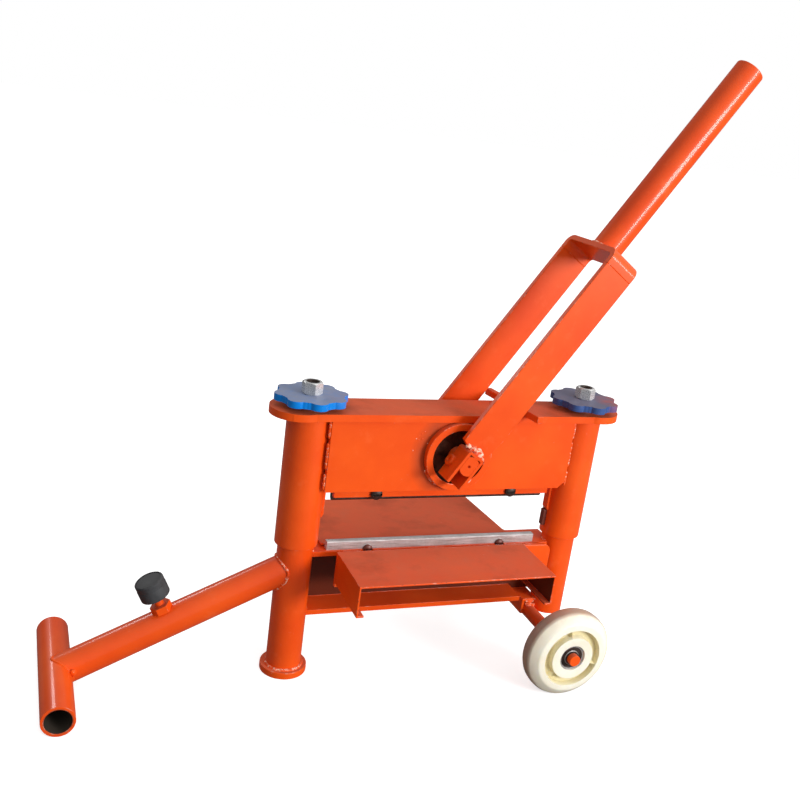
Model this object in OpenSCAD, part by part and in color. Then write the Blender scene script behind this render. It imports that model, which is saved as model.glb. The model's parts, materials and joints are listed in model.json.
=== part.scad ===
// Hand-operated block splitter: a lever turns a cam that pushes the upper blade down onto a stone.
// Origin: centre of the left column's foot, on the floor. +X runs along the blades towards the
// wheels, +Y to the rear table, +Z up. All sizes are in millimetres.

/* [Columns] */
// Distance between the axes of the two columns
column_spacing = 500; // [480:5:540]
// Outer diameter of both columns
column_d = 60; // [54:1:62]
// Wall thickness of both columns
column_wall = 4; // [3:0.5:6]
// Height of the tops of the column tubes
column_top = 428; // [420:1:432]
// Height of the open lower end of the right column
column_right_bottom = 84; // [80:1:86]
// Diameter of the foot disc under the left column
foot_d = 80; // [70:1:100]
// Thickness of the foot disc
foot_t = 12; // [8:1:14]
// Thickness of the threaded disc on top of each column
column_nut_t = 12; // [8:1:14]

/* [Ground frame] */
// Distance from the left column to the foot tube
foot_tube_x = 371; // [340:1:420]
// Length of the foot tube
foot_tube_len = 260; // [220:5:300]
// Outer diameter of the foot tube
foot_tube_d = 51; // [48:1:54]
// Wall thickness of the foot tube and the leg tube
ground_wall = 5; // [3:0.5:6]
// Outer diameter of the leg tube
leg_d = 50.8; // [46:0.2:50.8]
// Height where the leg tube's axis meets the left column
leg_top_z = 196.7; // [185:0.1:200]
// Distance of the rubber buffer up the leg tube
buffer_along = 188; // [170:1:200]
// Diameter of the rubber buffer
buffer_d = 48; // [40:1:52]
// Height of the rubber buffer
buffer_h = 33; // [25:1:34]
// Distance of the buffer's underside from the leg tube's axis
buffer_lift = 52; // [44:1:54]

/* [Lower beam and tables] */
// Height of the underside of the channel beam
beam_bottom = 105; // [105:1:108]
// Height of the channel beam
beam_h = 118; // [110:1:118]
// Forward reach of the channel beam's flanges
beam_front = 12; // [8:1:12]
// Rearward reach of the channel beam's web
beam_rear = 43; // [40:1:46]
// Thickness of the beam's flanges
beam_flange_t = 9; // [6:1:10]
// Thickness of the beam's web
beam_web_t = 7; // [5:1:9]
// Left end of the front table
front_table_left = 64; // [60:1:80]
// Right end of the front table
front_table_right = 413; // [400:1:430]
// Distance of the front table's front edge from the blade plane
front_table_reach = 151; // [130:1:170]
// Height of the top of the front table
front_table_top = 230; // [228:1:232]
// Height of the side walls of the front table
front_table_wall_h = 54; // [45:1:60]
// Sheet thickness of the front table
front_table_t = 3; // [2:0.5:4]
// Width of the inward lips of the front table
front_table_lip = 13; // [8:1:20]
// Length of the rear table along its slope
rear_table_len = 200; // [150:5:240]
// Slope of the rear table in degrees
rear_table_slope = 2.75; // [2:0.25:3.75]
// Thickness of the rear table
rear_table_t = 4; // [3:0.5:5]

/* [Blades] */
// Left end of both blades
blade_left = 52; // [50:1:56]
// Right end of both blades
blade_right = 443; // [430:1:446]
// Thickness of both blades
blade_t = 12; // [10:1:14]
// Height of the lower blade's ridge
lower_blade_top = 238.5; // [237:0.5:239]
// Height of the upper blade's edge
upper_blade_edge = 312; // [312:0.5:320]
// Width of the flat on each blade's edge
blade_flat = 5; // [2:0.5:6]

/* [Head] */
// Height of the top of the deck plate
deck_top = 475; // [475:1:480]
// Thickness of the deck plate
deck_t = 12; // [10:1:12]
// Half width of the straight part of the deck plate
deck_half_w = 43; // [40:0.5:44]
// Radius of the deck plate's round ends
deck_end_r = 46.8; // [45:0.1:48]
// Distance of the centre of each round end beyond its column
deck_end_out = 19; // [15:1:20]
// Outer diameter of the sleeves
sleeve_d = 72; // [70:1:76]
// Height of the lower ends of the sleeves
sleeve_bottom = 238; // [238:1:250]
// Height of the lower edge of the side plates
side_bottom = 341; // [341:1:345]
// Thickness of the side plates
side_t = 10; // [8:1:10]
// Distance of the side plates' outer faces from the blade plane
side_out = 38; // [38:1:38]
// Height of the cam shaft's axis
pivot_z = 404; // [404:1:404]
// Outer diameter of the bearing rings
ring_d = 118; // [110:1:118]
// Inner diameter of the bearing rings
ring_bore = 94; // [90:1:96]
// Thickness of the bearing rings
ring_t = 12; // [10:1:12]
// Width and height of the square rest bar
rest_bar_w = 12; // [10:1:12]
// Length of the rest bar
rest_bar_len = 160; // [156:2:170]

/* [Lever] */
// Lean of the lever from the vertical at rest, in degrees
lever_lean = 33.74; // [33.74:0.01:33.74]
// Width of the lever's two arms
arm_w = 60; // [50:1:60]
// Thickness of the lever's two arms
arm_t = 10; // [8:1:10]
// Distance between the inner faces of the arms
arm_gap = 133; // [133:1:140]
// Distance from the cam shaft to the outer face of the bridge
bridge_out = 423; // [400:1:440]
// Distance from the cam shaft to the seam between arm and bridge
bridge_seam = 395; // [380:1:396]
// Outer bend radius of the bridge
bridge_bend = 17; // [14:1:20]
// Distance from the cam shaft to the end of the handle tube
handle_end = 808; // [700:1:900]
// Outer diameter of the handle tube
handle_d = 51; // [46:1:54]
// Wall thickness of the handle tube
handle_wall = 4; // [3:0.5:5]
// Diameter of the cam shaft
shaft_d = 34; // [34:1:34]
// Width across the flats at the ends of the cam shaft
shaft_flats = 23; // [20:1:24]
// Diameter of the cam
cam_d = 80; // [80:1:80]
// Distance of the cam's centre from the shaft's axis
cam_throw = 7; // [5:0.5:7]

/* [Adjusters] */
// Diameter of the lead screws
screw_d = 20; // [20:1:20]
// Overall diameter of the handwheels
handwheel_d = 121; // [110:1:126]
// Thickness of the handwheels
handwheel_t = 11; // [8:1:14]
// Number of lobes round each handwheel
handwheel_lobes = 8; // [5:1:10]
// Width across the flats of the handwheel nuts
nut_af = 30; // [24:1:32]
// Height of the handwheel nuts
nut_h = 20; // [16:0.5:26]

/* [Wheels] */
// Diameter of the wheels
wheel_d = 160; // [160:1:160]
// Width of the wheels
wheel_w = 50; // [44:1:50]
// Distance of the front wheel's middle from the blade plane
wheel_y = 147; // [140:1:160]
// How much further out the rear wheel sits than the front one
rear_wheel_out = 32; // [0:1:40]
// Distance of the axle's axis from the left column
axle_x = 463; // [463:1:463]
// Diameter of the axle bar
axle_d = 25; // [24:1:27]
// Diameter of the axle ends in the wheel bearings
axle_end_d = 20; // [20:1:20]

/* [Hidden] */
$fn = 64;
eps = 1;

// Colours
PAINT = [0.93, 0.33, 0.12];
STEEL = [0.72, 0.72, 0.70];
DARK = [0.16, 0.15, 0.14];
ZINC = [0.80, 0.81, 0.80];
BLUE = [0.10, 0.48, 0.85];
NYLON = [0.93, 0.90, 0.78];
RUBBER = [0.14, 0.14, 0.15];
BRONZE = [0.66, 0.47, 0.25];

// Fits
running = 0.05;

// Columns and sleeves
column_r = column_d / 2;
sleeve_r = sleeve_d / 2;
sleeve_top = deck_top - deck_t;

// Ground frame
foot_tube_r = foot_tube_d / 2;
leg_r = leg_d / 2;
leg_rise = atan2(leg_top_z - foot_tube_r, foot_tube_x);
leg_len = norm([foot_tube_x, leg_top_z - foot_tube_r]);
buffer_edge = 2;
stud_d = 14;
stud_nut_af = 30;
stud_nut_h = 13;
stud_nut_low = 23;

// Lower beam
beam_top = beam_bottom + beam_h;
beam_end_in = 18;
beam_notch_x = 436;
cheek_left = 66;
cheek_right = 470;
cheek_bottom = 165;
cheek_top = front_table_top - front_table_t;
cheek_front = 30;
cheek_t = 8;
cheek_corner_r = 14;
spacer_w = 30;
spacer_x = [80, 235, 390];

// Tables
rear_table_left = 46;
rear_table_right = 404;
rear_table_front = 6;
rear_table_z = beam_top + 3;
rib_t = 6;
rib_x = [110, 348];
rib_end_y = 190;
rib_nose = 12;
rib_root_z = 150;

// Blades and their bolts
blade_bolt_x = [125, 375];
lower_bolt_r = 8;
lower_bolt_z = beam_top + 0.5;
lower_bolt_h = 6;
lower_shank_r = 3.5;
holder_right = 450;
holder_half_t = 15;
holder_bottom = upper_blade_edge + 9.5;
holder_top = 352;
blade_root_z = 340;
upper_bolt_z = 327.5;
upper_bolt_r = 10;
upper_bolt_h = 7;
upper_shank_r = 4;
shank_gap = 0.1;
upper_nut_af = 17;
upper_nut_h = 8;

// Head
pivot_x = column_spacing / 2;
side_in = side_out - side_t;
side_left = 27;
side_right = column_spacing - 32;
side_chamfer = 12;
bush_boss_r = 30;
bush_flange_t = 3;
bush_inner_y = side_in - 2;
guide_in = 4;
guide_half_w = 8;
guide_bottom = 284;
guide_nose = 5;
stop_t = 6.5;
stop_w = 11;
stop_bottom = 254;
rest_bar_x = 361.5;
rest_bar_skew = 8;
washer_d = 36;
washer_top = 485;

// Cam and pad
cam_half_t = 22;
cam_clearance = 1;
pad_top = pivot_z + cam_throw - cam_d / 2 - cam_clearance;
pad_half_w = 40;
pad_half_t = 20;

// Return springs
spring_x = [130, 370];
spring_r = 8;
spring_wire_r = 1.5;
spring_turns = 12;
spring_steps = 14;
spring_sides = 6;

// Lever
arm_in = arm_gap / 2;
arm_out = arm_in + arm_t;
arm_start = 29;
fork_wall = 5;
fork_half_w = 17;
fork_top = 22;
fork_bottom = -40;
fork_corner_r = 6;
fork_y_in = 52;
fork_y_out = 90;
fork_bolt_z = -11;
fork_bolt_y = 62;
fork_bolt_r = 5;
fork_head_r = 10;
fork_head_h = 6;
tongue_tip = -20;
tongue_w = 4;
tongue_root = 70;
centre_drill_r = 2.5;
centre_drill_depth = 6;

// Adjusters
screw_bottom = 320;
screw_top = 509;
collar_d = 28;
collar_h = 6;
handwheel_z = washer_top + 0.2;
lobe_r = 15;
dip_r = 8;

// Wheels and axle
wheel_r = wheel_d / 2;
bearing_w = 14;
bearing_d = 47;
bearing_race_r = 13.5;
bearing_recess = 3;
axle_end_out = 9;
axle_shoulder_y = wheel_y - wheel_w / 2 + bearing_recess;
axle_end_y = wheel_y + wheel_w / 2 + axle_end_out;
clip_t = 1.5;
clip_r = 12.5;
clip_groove_r = 9;
bracket_t = 5;
bracket_leg = 30;
bracket_front = 8;

// Children at both ends of the head or both sides of the blade plane
module both_sides() {
    children();
    mirror([0, 1, 0]) children();
}

// Children, drawn on the rear side, at the axle's longer rear end and mirrored at its front end
module both_axle_ends() {
    translate([0, rear_wheel_out, 0]) children();
    mirror([0, 1, 0]) children();
}

// A child drawn for the axle's front end, turned round for its rear end
module at_rear_end() {
    translate([0, rear_wheel_out, 0]) mirror([0, 1, 0]) children();
}

// A cylinder along +Y, from y0 to y1
module rod_y(r, y0, y1) {
    translate([0, y0, 0]) rotate([-90, 0, 0]) cylinder(r = r, h = y1 - y0);
}

// A tube standing on the plane z = z0
module tube(d, wall, z0, z1) {
    translate([0, 0, z0]) difference() {
        cylinder(d = d, h = z1 - z0);
        translate([0, 0, -eps]) cylinder(d = d - 2 * wall, h = z1 - z0 + 2 * eps);
    }
}

// The leg tube's frame: local +Z runs up the leg from the foot tube's axis
module on_leg() {
    translate([-foot_tube_x, 0, foot_tube_r]) rotate([0, 90 - leg_rise, 0]) children();
}

// The lever's frame: local +Z runs up the lever from the cam shaft's axis
module on_lever() {
    translate([pivot_x, 0, pivot_z]) rotate([0, lever_lean, 0]) children();
}

// Solids that other pieces are shaped round
module column_solid(x) {
    translate([x, 0, 0]) cylinder(r = column_r, h = column_top);
}

module axle_bar() {
    translate([axle_x, 0, wheel_r])
        rod_y(axle_d / 2, -axle_shoulder_y, axle_shoulder_y + rear_wheel_out);
}

module leg_solid() {
    on_leg() cylinder(r = leg_r, h = leg_len);
}

// --- Base ---

module foot_disc() {
    color(PAINT) cylinder(d = foot_d, h = foot_t);
}

module column_left() {
    color(PAINT) tube(column_d, column_wall, foot_t, column_top);
}

module column_right() {
    color(PAINT) difference() {
        translate([column_spacing, 0, 0]) tube(column_d, column_wall, column_right_bottom, column_top);
        axle_bar();
    }
}

module column_nut(x) {
    nut_d = column_d - 0.4;
    color(STEEL) translate([x, 0, column_top]) difference() {
        cylinder(d = nut_d, h = column_nut_t);
        translate([0, 0, -eps]) cylinder(r = screw_d / 2 + running, h = column_nut_t + 2 * eps);
    }
}

module leg_tube() {
    color(PAINT) difference() {
        leg_solid();
        on_leg() translate([0, 0, -eps]) cylinder(r = leg_r - ground_wall, h = leg_len + 2 * eps);
        column_solid(0);
        translate([-foot_tube_x, 0, foot_tube_r]) rod_y(foot_tube_r, -foot_tube_len / 2, foot_tube_len / 2);
    }
}

module foot_tube() {
    half = foot_tube_len / 2;
    color(PAINT) translate([-foot_tube_x, 0, foot_tube_r]) difference() {
        rod_y(foot_tube_r, -half, half);
        rod_y(foot_tube_r - ground_wall, -half - eps, half + eps);
    }
}

// The buffer's own frame: local +Z points away from the leg tube
module on_buffer() {
    on_leg() translate([0, 0, buffer_along]) rotate([0, -90, 0]) children();
}

module buffer_pad() {
    r = buffer_d / 2;
    e = buffer_edge;
    color(RUBBER) on_buffer() translate([0, 0, buffer_lift])
        rotate_extrude() polygon([
            [0, 0], [r - e, 0], [r, e], [r, buffer_h - e], [r - e, buffer_h], [0, buffer_h]
        ]);
}

module buffer_stud() {
    color(PAINT) difference() {
        on_buffer() union() {
            cylinder(d = stud_d, h = buffer_lift);
            translate([0, 0, stud_nut_low])
                cylinder(r = stud_nut_af / 2 / cos(30), h = stud_nut_h, $fn = 6);
        }
        leg_solid();
    }
}

module beam() {
    span = column_spacing - 2 * beam_end_in;
    depth = beam_front + beam_rear;
    color(PAINT) difference() {
        translate([beam_end_in, -beam_front, beam_bottom]) cube([span, depth, beam_h]);
        translate([beam_end_in - eps, -beam_front - eps, beam_bottom + beam_flange_t])
            cube([span + 2 * eps, depth - beam_web_t + eps, beam_h - 2 * beam_flange_t]);
        column_solid(0);
        column_solid(column_spacing);
        translate([beam_notch_x, -beam_front - eps, beam_bottom - eps])
            cube([column_spacing, depth - beam_web_t + eps, beam_flange_t + 2 * eps]);
        for (x = blade_bolt_x) translate([x, 0, lower_bolt_z]) {
            rod_y(lower_bolt_r + eps, -beam_front - eps, -blade_t / 2 - 1);
            rod_y(lower_shank_r + shank_gap, -beam_front, lower_blade_front + blade_t);
        }
    }
}

module cheek_plate() {
    corner = cheek_corner_r;
    color(PAINT) translate([0, cheek_t - cheek_front, 0]) rotate([90, 0, 0]) linear_extrude(cheek_t) union() {
        translate([cheek_left, cheek_bottom])
            square([cheek_right - cheek_left - corner, cheek_top - cheek_bottom]);
        translate([cheek_left, cheek_bottom])
            square([cheek_right - cheek_left, cheek_top - cheek_bottom - corner]);
        translate([cheek_right - corner, cheek_top - corner]) circle(r = corner);
    }
}

module cheek_spacers() {
    gap = cheek_front - cheek_t - beam_front;
    color(PAINT) for (x = spacer_x)
        translate([x, -beam_front - gap, beam_top - beam_flange_t]) cube([spacer_w, gap, beam_flange_t]);
}

// Upside-down channel, open towards the operator, with lips turned inwards along its lower edges
module front_table() {
    w = front_table_right - front_table_left;
    h = front_table_wall_h;
    t = front_table_t;
    lip = front_table_lip;
    color(PAINT) translate([front_table_left, -cheek_front, front_table_top - h])
        rotate([90, 0, 0]) linear_extrude(front_table_reach - cheek_front) polygon([
            [0, 0], [lip, 0], [lip, t], [t, t], [t, h - t], [w - t, h - t],
            [w - t, t], [w - lip, t], [w - lip, 0], [w, 0], [w, h], [0, h]
        ]);
}

module rear_table() {
    width = rear_table_right - rear_table_left;
    color(PAINT) translate([rear_table_left, rear_table_front, rear_table_z])
        rotate([-rear_table_slope, 0, 0]) cube([width, rear_table_len, rear_table_t]);
}

// Height of the rear table's underside at distance y from the blade plane
function under_table(y) = rear_table_z - (y - rear_table_front) * tan(rear_table_slope);

module rear_table_ribs() {
    start = rear_table_front + 2;
    color(PAINT) for (x = rib_x) translate([x, 0, 0])
        rotate([90, 0, 90]) linear_extrude(rib_t) polygon([
            [start, beam_top], [start, under_table(start)], [rib_end_y, under_table(rib_end_y)],
            [rib_end_y, under_table(rib_end_y) - rib_nose], [beam_rear, rib_root_z], [beam_rear, beam_top]
        ]);
}

// A bar with a ridge along its top, drawn from y0 to y0 + blade_t
module ridged_bar(y0, low, high, flat) {
    slope = (blade_t - flat) / 2;
    translate([blade_left, 0, 0]) rotate([90, 0, 90]) linear_extrude(blade_right - blade_left) polygon([
        [y0, low], [y0 + blade_t, low], [y0 + blade_t, high - slope], [y0 + blade_t - slope, high],
        [y0 + slope, high], [y0, high - slope]
    ]);
}

// The lower blade stands a little in front of the blade plane, on the beam's upper flange
lower_blade_front = -8;

module lower_blade() {
    color(STEEL) difference() {
        ridged_bar(lower_blade_front, beam_top, lower_blade_top, blade_t - 3);
        for (x = blade_bolt_x) translate([x, 0, lower_bolt_z])
            rod_y(lower_shank_r + shank_gap, lower_blade_front - eps, lower_blade_front + blade_t + eps);
    }
}

module lower_blade_bolts() {
    color(DARK) for (x = blade_bolt_x) translate([x, 0, lower_bolt_z]) {
        rod_y(lower_bolt_r, lower_blade_front - lower_bolt_h, lower_blade_front);
        rod_y(lower_shank_r, lower_blade_front - eps, lower_blade_front + blade_t - 1);
    }
}

module axle_bracket() {
    left = axle_x - axle_d / 2 - bracket_t;
    length = bracket_front + beam_rear;
    color(PAINT) difference() {
        translate([left, -bracket_front, 0]) union() {
            translate([0, 0, beam_bottom - bracket_leg]) cube([bracket_t, length, bracket_leg]);
            translate([0, 0, beam_bottom - bracket_t]) cube([bracket_leg, length, bracket_t]);
        }
        column_solid(column_spacing);
    }
}

module axle() {
    color(PAINT) difference() {
        union() {
            axle_bar();
            translate([axle_x, 0, wheel_r])
                rod_y(axle_end_d / 2, -axle_end_y, axle_end_y + rear_wheel_out);
        }
        both_axle_ends() translate([axle_x, 0, wheel_r]) difference() {
            rod_y(axle_end_d, clip_y, clip_y + clip_t);
            rod_y(clip_groove_r, clip_y - eps, clip_y + clip_t + eps);
        }
    }
}

// Distance of the outer bearing's outer face, where the retaining clip sits
clip_y = wheel_y + wheel_w / 2 - bearing_recess;

// A ring in each of a wheel's two bearing seats, for a wheel whose middle is at y
module bearing_rings(y, inner_r, outer_r) {
    seat = wheel_w / 2 - bearing_recess - bearing_w;
    for (start = [y + seat, y - seat - bearing_w]) translate([axle_x, 0, wheel_r]) difference() {
        rod_y(outer_r, start, start + bearing_w);
        rod_y(inner_r, start - eps, start + bearing_w + eps);
    }
}

module bearing_inner_rings() {
    color(STEEL) both_axle_ends() bearing_rings(wheel_y, axle_end_d / 2, bearing_race_r);
}

module axle_clips() {
    color(DARK) both_axle_ends() translate([axle_x, 0, wheel_r]) difference() {
        rod_y(clip_r, clip_y, clip_y + clip_t);
        rod_y(clip_groove_r, clip_y - eps, clip_y + clip_t + eps);
    }
}

// --- Head ---

module deck_plate() {
    left = -deck_end_out;
    right = column_spacing + deck_end_out;
    color(PAINT) translate([0, 0, sleeve_top]) difference() {
        union() {
            translate([left - deck_end_out + 0.5, -deck_half_w, 0])
                cube([right - left + 2 * deck_end_out - 1, 2 * deck_half_w, deck_t]);
            for (x = [left, right]) translate([x, 0, 0]) cylinder(r = deck_end_r, h = deck_t);
        }
        for (x = [0, column_spacing]) translate([x, 0, -eps])
            cylinder(r = screw_d / 2 + running, h = deck_t + 2 * eps);
    }
}

module sleeve(x) {
    color(PAINT) translate([x, 0, sleeve_bottom]) difference() {
        cylinder(r = sleeve_r, h = sleeve_top - sleeve_bottom);
        translate([0, 0, -eps]) cylinder(r = column_r + running, h = sleeve_top - sleeve_bottom + 2 * eps);
    }
}

module side_plate() {
    color(PAINT) translate([0, -side_in, 0]) rotate([90, 0, 0]) linear_extrude(side_t) difference() {
        polygon([
            [side_left, side_bottom], [side_right - side_chamfer, side_bottom],
            [side_right, side_bottom + side_chamfer], [side_right, sleeve_top], [side_left, sleeve_top]
        ]);
        translate([pivot_x, pivot_z]) circle(r = bush_boss_r);
    }
}

module bearing_ring() {
    color(PAINT) translate([pivot_x, 0, pivot_z]) difference() {
        rod_y(ring_d / 2, -side_out - ring_t, -side_out);
        rod_y(ring_bore / 2, -side_out - ring_t - eps, -side_out + eps);
    }
}

module bush() {
    fit = 0.1;
    color(BRONZE) translate([pivot_x, 0, pivot_z]) difference() {
        union() {
            rod_y(ring_bore / 2 - fit, -side_out - bush_flange_t, -side_out);
            rod_y(bush_boss_r - fit, -side_out - eps, -bush_inner_y);
        }
        rod_y(shaft_d / 2 + running, -side_out - bush_flange_t - eps, -bush_inner_y + eps);
    }
}

// A plate between sleeve and blade holder, drawn for the left column with its corner rounded
module guide() {
    edge = sleeve_r + guide_in;
    back = sleeve_r - 6;
    color(PAINT) difference() {
        translate([0, guide_half_w, 0]) rotate([90, 0, 0]) linear_extrude(2 * guide_half_w) polygon([
            [back, guide_bottom], [sleeve_r + 1, guide_bottom], [edge, guide_bottom + guide_nose],
            [edge, sleeve_top], [back, sleeve_top]
        ]);
        cylinder(r = sleeve_r, h = deck_top);
    }
}

module guide_left() {
    guide();
}

module guide_right() {
    translate([column_spacing, 0, 0]) mirror([1, 0, 0]) guide();
}

module guide_stop() {
    color(DARK) difference() {
        translate([column_spacing - sleeve_r - stop_t, -stop_w / 2, stop_bottom])
            cube([2 * stop_t, stop_w, guide_bottom - stop_bottom]);
        translate([column_spacing, 0, 0]) cylinder(r = sleeve_r, h = deck_top);
    }
}

module rest_bar() {
    color(PAINT) translate([rest_bar_x, 0, deck_top]) rotate([0, 0, rest_bar_skew])
        translate([-rest_bar_w / 2, -rest_bar_len / 2, 0]) cube([rest_bar_w, rest_bar_len, rest_bar_w]);
}

module thrust_washers() {
    color(STEEL) for (x = [0, column_spacing]) translate([x, 0, deck_top]) difference() {
        cylinder(d = washer_d, h = washer_top - deck_top);
        translate([0, 0, -eps]) cylinder(r = screw_d / 2 + running, h = washer_top - deck_top + 2 * eps);
    }
}

// A round wire wound into a coil along +Z, as one closed mesh
module coil(radius, wire_r, turns, height) {
    rings = turns * spring_steps;
    points = [for (i = [0:rings]) for (j = [0:spring_sides - 1])
        let (a = 360 * i / spring_steps, b = 360 * j / spring_sides, r = radius + wire_r * cos(b))
        [r * cos(a), r * sin(a), wire_r + (height - 2 * wire_r) * i / rings + wire_r * sin(b)]];
    sides = [for (i = [0:rings - 1]) for (j = [0:spring_sides - 1])
        let (k = (j + 1) % spring_sides, low = i * spring_sides, high = low + spring_sides)
        [low + j, high + j, high + k, low + k]];
    start_cap = [for (j = [0:spring_sides - 1]) j];
    end_cap = [for (j = [spring_sides - 1:-1:0]) rings * spring_sides + j];
    polyhedron(points = points, faces = concat(sides, [start_cap, end_cap]));
}

module return_springs() {
    color(STEEL) for (x = spring_x) translate([x, 0, holder_top])
        coil(spring_r, spring_wire_r, spring_turns, sleeve_top - holder_top);
}

// --- Blade carrier ---

module blade_holder() {
    color(PAINT) difference() {
        translate([blade_left, -holder_half_t, holder_bottom])
            cube([holder_right - blade_left, 2 * holder_half_t, holder_top - holder_bottom]);
        translate([blade_left - eps, -blade_t / 2, holder_bottom - eps])
            cube([blade_right - blade_left + eps, blade_t, blade_root_z - holder_bottom + eps]);
        for (x = blade_bolt_x) translate([x, 0, upper_bolt_z])
            rod_y(upper_shank_r + shank_gap, -holder_half_t - eps, holder_half_t + eps);
    }
}

module upper_blade() {
    color(DARK) difference() {
        translate([0, 0, upper_blade_edge + blade_root_z]) mirror([0, 0, 1])
            ridged_bar(-blade_t / 2, upper_blade_edge, blade_root_z, blade_flat);
        for (x = blade_bolt_x) translate([x, 0, upper_bolt_z])
            rod_y(upper_shank_r + shank_gap, -blade_t, blade_t);
    }
}

module upper_blade_bolts() {
    color(DARK) for (x = blade_bolt_x) translate([x, 0, upper_bolt_z]) {
        rod_y(upper_bolt_r, -holder_half_t - upper_bolt_h, -holder_half_t);
        rod_y(upper_shank_r, -holder_half_t - eps, holder_half_t + upper_nut_h);
        translate([0, holder_half_t, 0]) rotate([-90, 0, 0])
            cylinder(r = upper_nut_af / 2 / cos(30), h = upper_nut_h, $fn = 6);
    }
}

module cam_pad() {
    color(STEEL) translate([pivot_x - pad_half_w, -pad_half_t, holder_top])
        cube([2 * pad_half_w, 2 * pad_half_t, pad_top - holder_top]);
}

// --- Lever ---

module cam_shaft() {
    flat_r = shaft_d / 2;
    half_flats = shaft_flats / 2;
    color(STEEL) on_lever() difference() {
        rod_y(shaft_d / 2, -fork_y_out, fork_y_out);
        both_sides() for (side = [-1, 1])
            translate([side * (half_flats + flat_r / 2), -(fork_y_out + fork_y_in) / 2, 0])
                cube([flat_r, fork_y_out - fork_y_in + 2 * eps, shaft_d + eps], center = true);
        both_sides() translate([0, -fork_bolt_y, fork_bolt_z]) rotate([0, 90, 0])
            cylinder(r = fork_bolt_r + shank_gap, h = shaft_d, center = true);
        both_sides() rod_y(centre_drill_r, -fork_y_out - eps, -fork_y_out + centre_drill_depth);
    }
}

module cam() {
    color(STEEL) difference() {
        translate([pivot_x, 0, pivot_z + cam_throw]) rod_y(cam_d / 2, -cam_half_t, cam_half_t);
        translate([pivot_x, 0, pivot_z]) rod_y(shaft_d / 2, -cam_half_t - eps, cam_half_t + eps);
    }
}

// The outline of the bent fork, open downwards, with round outer corners
module fork_outline(half_w, top, corner) {
    translate([-half_w, fork_bottom]) square([2 * half_w, top - corner - fork_bottom]);
    translate([corner - half_w, fork_bottom]) square([2 * (half_w - corner), top - fork_bottom]);
    for (side = [-1, 1]) translate([side * (half_w - corner), top - corner]) circle(r = corner);
}

module fork() {
    inner_half = fork_half_w - fork_wall;
    color(PAINT) on_lever() difference() {
        translate([0, -fork_y_in, 0]) rotate([90, 0, 0]) linear_extrude(fork_y_out - fork_y_in)
            difference() {
                fork_outline(fork_half_w, fork_top, fork_corner_r);
                translate([-inner_half, fork_bottom - eps])
                    square([2 * inner_half, fork_top - fork_wall - fork_bottom + eps]);
            }
        translate([0, -fork_bolt_y, fork_bolt_z]) rotate([0, 90, 0])
            cylinder(r = fork_bolt_r + shank_gap, h = 3 * fork_half_w, center = true);
    }
}

module fork_bolts() {
    color(PAINT) on_lever() both_sides() translate([-fork_half_w, -fork_bolt_y, fork_bolt_z])
        rotate([0, 90, 0]) {
            translate([0, 0, -fork_head_h]) cylinder(r = fork_head_r, h = fork_head_h);
            translate([0, 0, -eps]) cylinder(r = fork_bolt_r, h = 2 * fork_half_w + eps);
        }
}

// The arm stops on the fork's web and sends a tongue down beside the fork's right leg
module arm() {
    color(PAINT) on_lever() translate([0, -arm_in, 0]) rotate([90, 0, 0]) linear_extrude(arm_t) difference() {
        polygon([
            [-arm_w / 2, arm_start], [-fork_half_w + fork_corner_r, fork_top],
            [fork_half_w - fork_corner_r, fork_top], [fork_half_w, fork_top - fork_corner_r],
            [fork_half_w, tongue_tip], [fork_half_w + tongue_w, tongue_tip],
            [arm_w / 2, tongue_root], [arm_w / 2, bridge_seam], [-arm_w / 2, bridge_seam]
        ]);
        fork_outline(fork_half_w, fork_top, fork_corner_r);
    }
}

// Outline of the bridge across the arms, with rounded bends; top is its far face
module bridge_outline(half_w, top, corner, low) {
    translate([-half_w, low]) square([2 * half_w, top - corner - low]);
    translate([corner - half_w, low]) square([2 * (half_w - corner), top - low]);
    for (side = [-1, 1]) translate([side * (half_w - corner), top - corner]) circle(r = corner);
}

module bridge() {
    inner_top = bridge_out - arm_t;
    color(PAINT) on_lever() translate([-arm_w / 2, 0, 0]) rotate([90, 0, 90]) linear_extrude(arm_w)
        difference() {
            bridge_outline(arm_out, bridge_out, bridge_bend, bridge_seam);
            bridge_outline(arm_in, inner_top, bridge_bend - arm_t, bridge_seam - eps);
            translate([-arm_out, bridge_seam - bridge_bend]) square([2 * arm_out, bridge_bend]);
        }
}

module handle_tube() {
    color(PAINT) on_lever() tube(handle_d, handle_wall, bridge_out, handle_end);
}

// --- Adjusters ---

module lead_screw(x) {
    color(ZINC) translate([x, 0, 0]) union() {
        translate([0, 0, screw_bottom]) cylinder(d = screw_d, h = screw_top - screw_bottom);
        translate([0, 0, sleeve_top - collar_h]) cylinder(d = collar_d, h = collar_h);
    }
}

module handwheel(x) {
    rim_r = handwheel_d / 2;
    step = 360 / handwheel_lobes;
    color(BLUE) translate([x, 0, handwheel_z]) difference() {
        union() {
            cylinder(r = rim_r - lobe_r / 2, h = handwheel_t);
            for (i = [0:handwheel_lobes - 1]) rotate([0, 0, i * step])
                translate([rim_r - lobe_r, 0, 0]) cylinder(r = lobe_r, h = handwheel_t);
        }
        for (i = [0:handwheel_lobes - 1]) rotate([0, 0, (i + 0.5) * step])
            translate([rim_r, 0, -eps]) cylinder(r = dip_r, h = handwheel_t + 2 * eps);
        translate([0, 0, -eps]) cylinder(d = screw_d, h = handwheel_t + 2 * eps);
    }
}

module handwheel_nut(x) {
    color(ZINC) translate([x, 0, handwheel_z + handwheel_t]) difference() {
        cylinder(r = nut_af / 2 / cos(30), h = nut_h, $fn = 6);
        translate([0, 0, -eps]) cylinder(d = screw_d, h = nut_h + 2 * eps);
    }
}

// --- Wheels ---

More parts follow.
